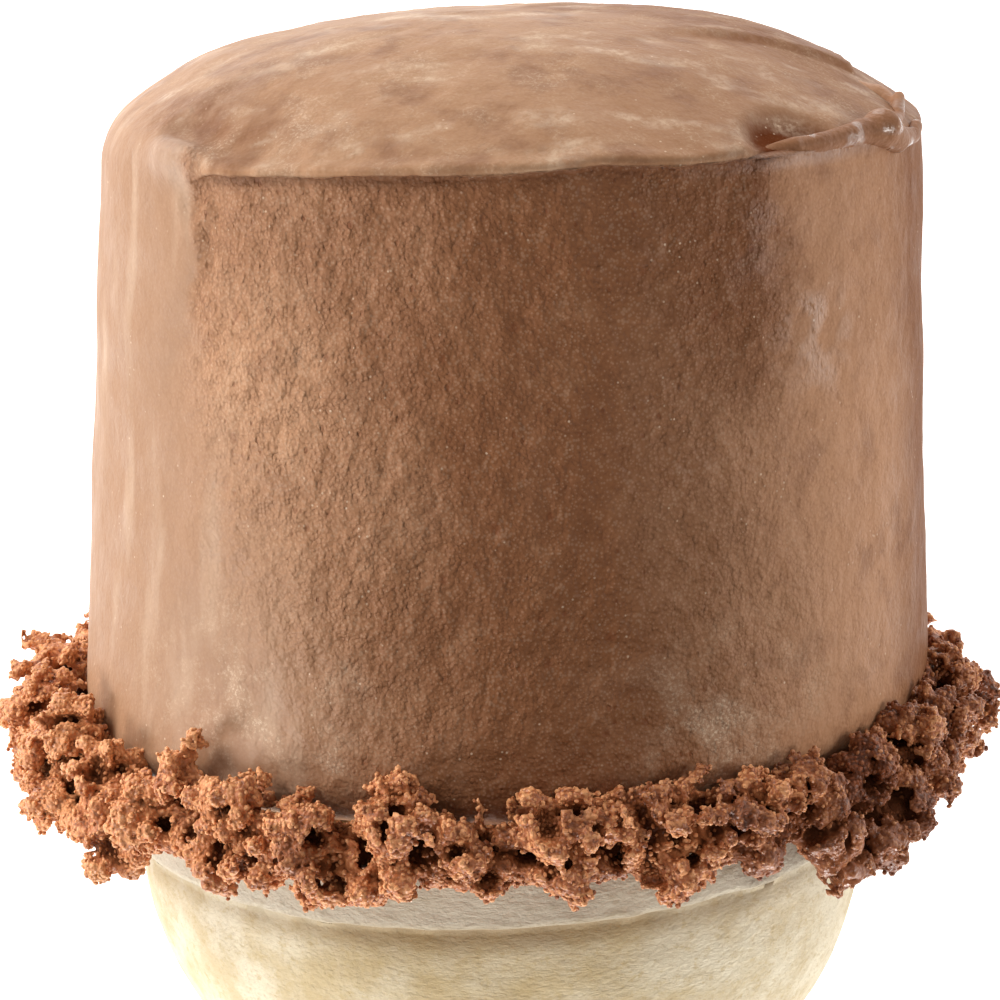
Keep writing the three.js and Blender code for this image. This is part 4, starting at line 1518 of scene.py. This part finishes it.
@dataclass
class CrumbCollar:
    """The ring of crumb clumps round the foot of the drum, made in a few pieces side by side."""

    KEY_SPAN: ClassVar[int] = 1024
    rest: Rest
    noise: LatticeNoise
    drum: IceCreamDrum
    ring_radius: float = 29.7
    ring_level: float = 6.4
    core_radius: float = 1.75
    rim_radius: float = 26.0
    rim_level: float = 7.0
    step: float = 0.2
    sectors: int = 8
    first_bearing: float = -28.0
    sink: float = 0.7
    seed: int = 4271
    crag_reach: float = 1.6
    cave_depth: float = 1.3
    bead_cell: float = 0.54
    grain_cell: float = 0.53
    grain_size: Pair = (0.13, 0.21)

    def clumps(self) -> list[Clump]:
        """All the clumps: those in sight, and others like them round the back.

        Returns:
            The clumps, by bearing.
        """
        draw = np.random.default_rng(self.seed)
        found = [Clump(*place) for place in SHOWN_CLUMPS]
        for bearing in np.arange(123.0, 240.0, 4.6):
            level = 6.4 + 3.0 * (draw.random() - 0.5) + (1.6 if len(found) % 2 else -0.6)
            found.append(Clump(bearing + 2.0 * draw.random(), level, 2.2 + 0.6 * draw.random()))
        return found

    def sector_of(self, clump: Clump) -> int:
        """The piece that a clump belongs to."""
        return int(((clump.bearing - self.first_bearing) % 360.0) / (360.0 / self.sectors))

    def pile(self, block: Block, clumps: list[Clump], draw: np.random.Generator) -> None:
        """Piles up the clumps: a lump each, knobs all over it, and a few bites between the knobs.

        The knobs sit on a spiral that covers the lump evenly, with the golden angle from one to the
        next, and each is moved and sized at random.

        Args:
            block: the block that they are drawn in.
            clumps: the clumps.
            draw: random numbers.
        """
        golden = math.pi * (3.0 - math.sqrt(5.0))
        caves: list[Array] = []
        for clump in clumps:
            turn, _ = np.linalg.qr(draw.normal(size=(3, 3)))
            sizes = clump.size * (0.64 + 0.24 * draw.random(3))
            soft = float(self.melt_of(clump.centre[None])[0])
            block.add_lump(clump.centre, sizes, turn, 0.5)
            count = int(4.4 * clump.size**2)
            rise = 1.0 - 2.0 * (np.arange(count) + 0.5) / count
            angle = golden * np.arange(count)
            flat = np.sqrt(1.0 - rise**2)
            knobs = np.stack([flat * np.cos(angle), flat * np.sin(angle), rise], axis=-1)
            knobs = knobs + 0.16 * draw.normal(size=knobs.shape)
            places = clump.centre + (knobs * sizes * (0.84 + 0.42 * draw.random((count, 1)))) @ turn
            radii = 0.4 + 0.5 * draw.random(count) ** 1.6
            for place, radius in zip(places, radii):
                block.add_ball(place, radius * (1.0 + 0.3 * soft), 0.16 + 0.5 * soft)
            if soft < 0.4:
                caves += [place + 0.4 * draw.normal(size=3) for place in places[draw.integers(0, count, 5)]]
        for cave in caves:
            block.cut_ball(cave, 0.45 + 0.75 * draw.random() ** 1.5)

    def stretch_of(self, clumps: list[Clump], number: int) -> Skin:
        """Draws one piece: its stretch of core ring, its clumps, and the grains that stand on them.

        Waves make the clumps craggy, ridges and beads make them granular, and caves open in them.
        What the drum and the wafer take up is cut away.

        Args:
            clumps: the clumps of this piece.
            number: which stretch of the ring it is.

        Returns:
            The skin with its masks.
        """
        draw = np.random.default_rng(self.seed + number)
        centres = np.array([clump.centre for clump in clumps])
        margin = max(clump.size for clump in clumps) * 1.25 + 1.6
        block = Block(centres.min(axis=0) - margin, centres.max(axis=0) + margin, self.step)
        self.pile(block, clumps, draw)
        x, y, z = block.axes()
        reach = np.hypot(x, y)
        bearing = np.degrees(np.arctan2(x, -y))
        width = 360.0 / self.sectors
        start = number * width + self.first_bearing
        off = (bearing - start - width / 2.0 + 180.0) % 360.0 - 180.0
        past = np.maximum(np.abs(off) - width / 2.0 - 2.0, 0.0) * math.radians(1.0) * self.ring_radius
        core = np.sqrt((reach - self.ring_radius) ** 2 + (z - self.ring_level) ** 2 + past**2)
        core = core - self.core_radius
        seed = core < -0.8
        block.distance = rounded_join(block.distance, core.astype(np.float32), 0.6)
        near = np.argwhere(np.abs(block.distance) < self.crag_reach)
        places = block.places(near)
        melt = self.melt_of(places)
        gap, _ = self.noise.beads(places / self.bead_cell)
        bead = np.clip(1.0 - (gap / 0.62) ** 2, 0.0, 1.0)
        ridges = np.abs(self.noise.waves(places / 0.9))
        craggy = 0.3 * self.noise.waves(places / 2.4) + 0.04 - 0.45 * ridges - 0.22 * bead
        caves = ease(0.13, 0.4, self.noise.waves(places / 1.5 + 7.0)) * (1.0 - melt)
        block.distance[tuple(near.T)] += craggy * (1.0 - 0.5 * melt) + self.cave_depth * caves
        block.distance = np.maximum(block.distance, self.room_of(reach, x, y, z))
        block.distance = np.maximum(block.distance, y - self.rest.floor_depth())
        for axis in range(3):
            for end in (0, -1):
                face = [slice(None)] * 3
                face[axis] = end
                block.distance[tuple(face)] = 1.0
        block.keep_joined(seed)
        skin = block.skin()
        opened = block.sample(block.openness(6), skin.points)
        skin.masks["open"] = np.interp(opened, np.quantile(opened, (0.08, 0.45, 0.92)), (0.3, 0.55, 0.76))
        skin.masks["fine"] = block.sample(block.openness(1), skin.points)
        skin.masks["melted"] = self.melt_of(skin.points)
        turned = np.degrees(np.arctan2(skin.points[:, 0], -skin.points[:, 1]))
        waves = 0.5 * self.noise.waves(skin.points / 4.2 + 11.0)
        # Darker towards +X, away from the key lamps: painted shade; the waves are random tone.
        right = 0.36 * ease(-60.0, -15.0, turned) + 0.34 * ease(-5.0, 50.0, turned)
        skin.masks["tone"] = 0.06 + 0.8 * waves + right * ease(175.0, 140.0, turned)
        return skin.joined(self.grains_on(skin, block, draw))

    def grains_on(self, skin: Skin, block: Block, draw: np.random.Generator) -> Skin:
        """Sets grains into a skin, one at most for each small cube of space, and few where it melted.

        Args:
            skin: the skin of a piece, with its masks.
            block: the block that it was drawn in.
            draw: random numbers.

        Returns:
            The grains, with the same masks.
        """
        order = draw.permutation(len(skin.points))
        cells = np.floor(skin.points[order] / self.grain_cell).astype(int) + self.KEY_SPAN // 2
        keys = (cells[:, 0] * self.KEY_SPAN + cells[:, 1]) * self.KEY_SPAN + cells[:, 2]
        chosen = order[np.unique(keys, return_index=True)[1]]
        hidden = ease(-4.0, 6.0, skin.points[chosen, 1])
        wanted = (0.92 - 0.85 * skin.masks["melted"][chosen]) * (1.0 - 0.8 * hidden)
        chosen = chosen[draw.random(len(chosen)) < wanted]
        seats = skin.points[chosen]
        small, large = self.grain_size
        radii = mix(small, large, draw.random(len(chosen)) ** 1.4)
        centres = seats + block.outward(seats) * (radii * mix(-0.6, 0.2, draw.random(len(chosen))))[:, None]
        room = self.room_of(np.hypot(centres[:, 0], centres[:, 1]), *centres.T)
        fits = (room < -radii) & (centres[:, 1] < self.rest.floor_depth() - radii - 0.05)
        chosen, centres, radii = chosen[fits], centres[fits], radii[fits]
        grains = Grains(draw, 0.6).skin(centres, radii)
        corners = len(grains.points) // len(centres)
        height = (grains.points - np.repeat(centres, corners, axis=0)) / np.repeat(radii, corners)[:, None]
        lift = np.einsum("ij,ij->i", height, np.repeat(block.outward(seats[fits]), corners, axis=0))
        lots = 0.6 * (draw.random(len(centres)) - 0.5)
        grains.masks["open"] = np.repeat(skin.masks["open"][chosen], corners) + 0.05 + 0.07 * lift
        grains.masks["fine"] = 0.56 + 0.17 * lift
        grains.masks["melted"] = np.repeat(skin.masks["melted"][chosen], corners)
        grains.masks["tone"] = np.repeat(skin.masks["tone"][chosen] + lots, corners)
        return grains

    def melt_of(self, places: Array) -> Array:
        """How far the crumbs have melted into a smooth mass.

        Args:
            places: points in upright millimetres, one to a row.

        Returns:
            A number from 0 to 1 for each point.
        """
        bearing = np.degrees(np.arctan2(places[:, 0], -places[:, 1]))
        right = 0.55 * (1.0 - ease(5.0, 13.0, np.abs(bearing - 46.0))) * ease(8.0, 4.5, places[:, 2])
        left = (1.0 - ease(3.0, 8.0, np.abs(bearing + 39.0))) * ease(6.0, 4.4, places[:, 2])
        patch = ease(0.25, 0.6, self.noise.waves(places / 5.0 + 3.0)) * ease(6.5, 4.5, places[:, 2])
        return np.clip(right + 0.5 * left + 0.5 * patch, 0.0, 1.0)

    def room_of(self, reach: Array, x: Array, y: Array, z: Array) -> Array:
        """Distance into the room that the drum and the wafer take up, less what the crumbs may sink in.

        Args:
            reach: distances from the axis.
            x: places across.
            y: places from front to back.
            z: heights.

        Returns:
            The distances, positive inside the room.
        """
        climb = np.clip((z - self.rim_level - 0.3) / self.drum.foot_round, 0.0, 1.0)
        tuck = self.drum.foot_tuck * (1.0 - np.sqrt(np.clip(1.0 - (1.0 - climb) ** 2, 0.0, 1.0)))
        drum = self.drum.foot_radius - tuck - np.hypot(x - self.drum.shift, y)
        rim = self.rim_radius - reach
        return np.where(z > self.rim_level, drum, rim + 0.0 * z) - self.sink

    def build(self, finish: bpy.types.Material) -> list[bpy.types.Object]:
        """Builds the collar's pieces and dresses them.

        Args:
            finish: the crumbs' material.

        Returns:
            The pieces.
        """
        groups: list[list[Clump]] = [[] for _ in range(self.sectors)]
        for clump in self.clumps():
            groups[self.sector_of(clump)].append(clump)
        pieces = []
        for number, clumps in enumerate(groups):
            skin = self.stretch_of(clumps, number)
            pieces.append(skin.build(f"crumb_collar_{number + 1}", self.rest, finish))
        return pieces


# ---- Wafer ----------------------------------------------------------------------------------------


@dataclass
class WaferCone:
    """The moulded wafer: recessed foot, ribbed stem, round bowl and rim band, and an open cavity."""

    rest: Rest
    noise: LatticeNoise
    rim_radius: float = 26.0
    rim_height: float = 7.0
    height: float = 73.0
    wall: float = 2.2
    ledge: float = 0.35
    flare: float = 0.15
    edge_round: float = 0.7
    bowl_arc: float = 24.6
    bowl_depth: float = 18.0
    neck_length: float = 3.0
    stem_top: float = 16.4
    stem_foot: float = 15.2
    foot_radius: float = 16.6
    foot_height: float = 3.2
    foot_recess: float = 1.6
    foot_ring: float = 2.4
    pole: float = 2.0
    floor: float = 2.0
    ribs: int = 14
    rib_height: float = 0.55
    columns: int = 376
    inner_rows: int = 52

    def bowl_radius(self, level: Array) -> Array:
        """Outside radius of the bowl: an arc that is upright at the ledge."""
        return self.rim_radius - self.ledge - self.bowl_arc + np.sqrt(self.bowl_arc**2 - level**2)

    def stem_radius(self, level: Array) -> Array:
        """Outside radius of the stem between its ribs.

        Args:
            level: heights.

        Returns:
            The radii.
        """
        foot = self.rim_height - self.height
        top = -self.bowl_depth - self.neck_length
        return mix(self.stem_foot, self.stem_top, (level - foot) / (top - foot))

    def profile(self) -> tuple[Array, Array]:
        """The wafer's outline from under its foot, up the outside and down the inside.

        Returns:
            Rows of radius and height, and for each row how much the upright ribs stand out.
        """
        foot = self.rim_height - self.height
        neck = -self.bowl_depth
        stem = neck - self.neck_length
        inner = self.foot_radius - self.foot_ring
        bend = self.edge_round
        rows: list[Triple] = []

        def line(start: Pair, end: Pair, count: int) -> None:
            """Adds rows along a straight line, without its end."""
            for share in np.linspace(0.0, 1.0, count, endpoint=False):
                rows.append((mix(start[0], end[0], share), mix(start[1], end[1], share), 0.0))

        def turn(middle: Pair, start: float, count: int) -> None:
            """Adds rows along a quarter of a rounded edge, from the start in degrees."""
            for angle in np.radians(np.linspace(start, start + 90, count, endpoint=False)):
                rows.append((middle[0] + bend * math.cos(angle), middle[1] + bend * math.sin(angle), 0.0))

        under = foot + self.foot_recess
        line((self.pole, under), (inner - self.foot_recess, under), 5)
        line((inner - self.foot_recess, under), (inner, foot), 4)
        line((inner, foot), (self.foot_radius - bend, foot), 4)
        turn((self.foot_radius - bend, foot + bend), -90, 6)
        shoulder = foot + self.foot_height - bend
        line((self.foot_radius, foot + bend), (self.foot_radius, shoulder), 5)
        low = foot + self.foot_height + self.rib_height
        high = stem - self.rib_height
        line((self.foot_radius, shoulder), (float(self.stem_radius(low)), low), 6)
        waist = (low + high) / 2.0
        for level in np.linspace(low, high, 100, endpoint=False):
            ring = float(1.0 - ease(1.0, 1.9, abs(level - waist) / self.rib_height))
            ends = float(ease(low, low + 0.8, level) * ease(high, high - 0.8, level))
            radius = float(self.stem_radius(level)) + self.rib_height * ring
            rows.append((radius, level, self.rib_height * (1.0 - ring) * ends))
        for share in np.linspace(0.0, 1.0, 10, endpoint=False):
            radius = mix(self.stem_top + self.rib_height, float(self.bowl_radius(neck)), share**2)
            rows.append((float(radius), mix(high, neck, share), 0.0))
        for level in np.linspace(neck, 0.0, 44, endpoint=False):
            rows.append((float(self.bowl_radius(level)), level, 0.0))
        below = self.rim_radius - self.ledge
        line((below, 0.0), (self.rim_radius - self.flare, 0.12), 4)
        line((self.rim_radius - self.flare, 0.12), (self.rim_radius, self.rim_height - bend), 18)
        turn((self.rim_radius - bend, self.rim_height - bend), 0, 6)
        inside = below - self.wall
        line((self.rim_radius - bend, self.rim_height), (inside + 0.4, self.rim_height), 4)
        line((inside, self.rim_height - 0.4), (inside, 0.0), 6)
        for level in np.linspace(0.0, neck, 14, endpoint=False):
            rows.append((float(self.bowl_radius(level)) - self.wall, level, 0.0))
        bottom = foot + self.foot_recess + self.floor
        stem_in = (float(self.stem_radius(stem)) - self.wall, stem)
        foot_in = (float(self.stem_radius(foot)) - self.wall, bottom)
        line((float(self.bowl_radius(neck)) - self.wall, neck), stem_in, 5)
        line(stem_in, foot_in, 14)
        line(foot_in, (self.pole, bottom), 5)
        table = np.array(rows)
        return table[:, :2], table[:, 2]

    def build(self, finish: bpy.types.Material) -> bpy.types.Object:
        """Builds the wafer and dresses it.

        The outline is carried round the axis, and each upright rib is an eased cosine wave.

        Args:
            finish: the wafer's material.

        Returns:
            The wafer's object.
        """
        outline, stand = self.profile()
        theta = np.arange(self.columns) / self.columns * TURN
        phase = self.ribs * theta - 0.5 * TURN * self.ribs / 56.0
        rib = ease(-0.45, 0.45, np.cos(phase))
        radius = outline[:, :1] + stand[:, None] * rib[None, :]
        level = outline[:, 1:] + 0.0 * theta
        rings = np.stack([radius * np.cos(theta), radius * np.sin(theta), level], axis=-1)
        flat = rings.reshape(-1, 3)
        wavy = 0.10 * self.noise.layers(flat / 7.0, 2) + 0.035 * self.noise.layers(flat / 1.6, 2)
        outside = (np.arange(len(outline)) < len(outline) - self.inner_rows)[:, None]
        height = wavy.reshape(rings.shape[:2]) * outside
        ledge_zone = (1.0 - ease(0.0, 1.6, np.abs(level - 0.1))) * outside
        height = height + 0.12 * ledge_zone * self.noise.layers(flat / 3.0 + 5.0, 2).reshape(height.shape)
        rings = rings + height[..., None] * outward_of_rings(rings)
        rings[..., 1] = np.minimum(rings[..., 1], self.rest.floor_depth())
        bottom = np.array([0.0, 0.0, rings[0, :, 2].mean()])
        top = np.array([0.0, 0.0, rings[-1, :, 2].mean()])
        # Just under the ledge, strongest at the front: the painted shadow's mask.
        ledge_shadow = ease(-2.2, -0.5, level) * ease(0.25, 0.0, level) * outside
        masks = {
            "band": ease(-0.2, 0.2, level) * outside,
            "ledge_shadow": ledge_shadow * mix(0.35, 1.0, facing(theta, -math.pi / 2.0, 0.9)),
            # The bowl's front, for the painted shade.
            "front_shade": facing(theta, -math.pi / 2.0 - 0.1, 0.75) + 0.0 * level,
        }
        return skin_of_rings(rings, bottom, top, masks).build("wafer_cup", self.rest, finish)


# ---- Studio ---------------------------------------------------------------------------------------


@dataclass(frozen=True)
class Lamp:
    """A soft square lamp: where it hangs, in upright millimetres, its watts, its colour and width."""

    name: str
    place: Triple
    power: float
    colour: Triple = (1.0, 0.99, 0.97)
    width: float = 0.16


LAMPS = (
    Lamp("key_high", (-285.0, -110.0, 300.0), 1.25),
    Lamp("key_low", (-390.0, -140.0, -90.0), 1.2),
    Lamp("fill", (390.0, -160.0, 40.0), 0.72, (1.0, 0.97, 0.93)),
    Lamp("foot", (0.0, -80.0, -400.0), 1.85),
    Lamp("front", (0.0, -420.0, 120.0), 0.26),
)


@dataclass
class Studio:
    """The pale floor, the soft lights and the camera that looks down on the cone."""

    rest: Rest
    camera_place: Triple = (0.705, -200.0, 69.07)
    pitch: float = 13.37
    roll: float = 2.49
    lens: float = 106.66
    aim: Triple = (0.0, 0.0, 25.0)
    floor_half: float = 0.9
    floor_level: float = -0.00005
    floor_glow: float = 0.95
    room_colour: Colour = (1.0, 0.98, 0.96, 1.0)
    room_glow: float = 0.13

    def hang(self, lamp: Lamp) -> None:
        """Hangs a lamp and turns it to the middle of the drum.

        Args:
            lamp: the lamp.
        """
        data = bpy.data.lights.new(lamp.name, "AREA")
        data.shape = "RECTANGLE"
        data.size = lamp.width
        data.size_y = lamp.width
        data.energy = lamp.power
        data.color = lamp.colour
        item = bpy.data.objects.new(lamp.name, data)
        bpy.context.scene.collection.objects.link(item)
        start, end = (Vector(self.rest.lay(np.array(point))) for point in (lamp.place, self.aim))
        item.location = start
        item.rotation_mode = "QUATERNION"
        item.rotation_quaternion = (start - end).to_track_quat("Z", "Y")

    def floor(self) -> None:
        """Adds the floor: pale, and bright enough to stay white under the soft lights."""
        graph = Graph("pale_floor")
        tone = graph.coat_of(shade(246, 246, 246), shade(255, 255, 255), graph.noise(60.0, 0.0))
        white = shade(255, 255, 255)
        graph.set(Base_Color=tone, Roughness=0.9, Emission_Color=white, Emission_Strength=self.floor_glow)
        corners = [(-1.0, -1.0), (1.0, -1.0), (1.0, 1.0), (-1.0, 1.0)]
        places = [(x * self.floor_half, y * self.floor_half, self.floor_level) for x, y in corners]
        mesh = bpy.data.meshes.new("floor")
        mesh.from_pydata(places, [], [(0, 1, 2, 3)])
        mesh.materials.append(graph.material)
        item = bpy.data.objects.new("floor", mesh)
        bpy.context.scene.collection.objects.link(item)

    def camera(self) -> None:
        """Adds the camera: it looks down on the lying cone, pitched towards its foot and rolled."""
        data = bpy.data.cameras.new("camera")
        data.sensor_width = 36.0
        data.lens = self.lens
        data.clip_start = 0.01
        data.clip_end = 10.0
        item = bpy.data.objects.new("camera", data)
        bpy.context.scene.collection.objects.link(item)
        down, tilt = math.radians(self.pitch), math.radians(self.roll)
        forward = self.rest.turn((0.0, math.cos(down), -math.sin(down)))
        level_up = self.rest.turn((0.0, math.sin(down), math.cos(down)))
        level_right = Vector((1.0, 0.0, 0.0))
        up = level_up * math.cos(tilt) + level_right * math.sin(tilt)
        right = level_right * math.cos(tilt) - level_up * math.sin(tilt)
        pose = Matrix((right, up, -forward)).transposed().to_4x4()
        pose.translation = Vector(self.rest.lay(np.array(self.camera_place)))
        item.matrix_world = pose
        bpy.context.scene.camera = item

    def build(self) -> None:
        """Sets up the floor, the lights and the camera."""
        scene = bpy.context.scene
        scene.view_settings.view_transform = "Standard"
        world = bpy.data.worlds.new("soft_room")
        world.use_nodes = True
        glow = world.node_tree.nodes["Background"].inputs
        glow["Color"].default_value = self.room_colour
        glow["Strength"].default_value = self.room_glow
        scene.world = world
        for lamp in LAMPS:
            self.hang(lamp)
        self.floor()
        self.camera()


def triangles_of(item: bpy.types.Object) -> int:
    """How many triangles a mesh has: its faces' corners, less two for each face."""
    return len(item.data.loops) - 2 * len(item.data.polygons)


def main() -> None:
    """Builds the studio and the cone's pieces in order, and ties each to the frame."""
    logging.basicConfig(level=logging.INFO, format="%(name)s %(message)s")
    low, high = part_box("wafer_cone")
    rest = Rest((low[0] + high[0]) / 2.0, low[1] + FOOT_TO_LEDGE * MM, AXIS_HEIGHT * MM)
    noise = LatticeNoise(NOISE_SEED)
    Studio(rest).build()
    wafer = WaferCone(rest, noise).build(WaferFinish().make())
    drum_maker = IceCreamDrum(rest, noise)
    chocolate = IceCreamFinish().make()
    drum = drum_maker.build(chocolate)
    curl = CornerCurl(rest, drum_maker).build(chocolate)
    crumbs = CrumbCollar(rest, noise, drum_maker).build(CrumbFinish().make())
    dressed = [(wafer, "wafer_cone", "wafer"), (drum, "ice_cream", "ice_cream")]
    dressed.append((curl, "ice_cream", "ice_cream"))
    dressed += [(piece, "crumb_collar", "crumbs") for piece in crumbs]
    for piece, node, slot in dressed:
        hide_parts(node)
        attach(piece, "root")
        log.info("%s stands for %s: %d triangles", piece.name, node, triangles_of(piece))


if __name__ == "__main__":
    main()
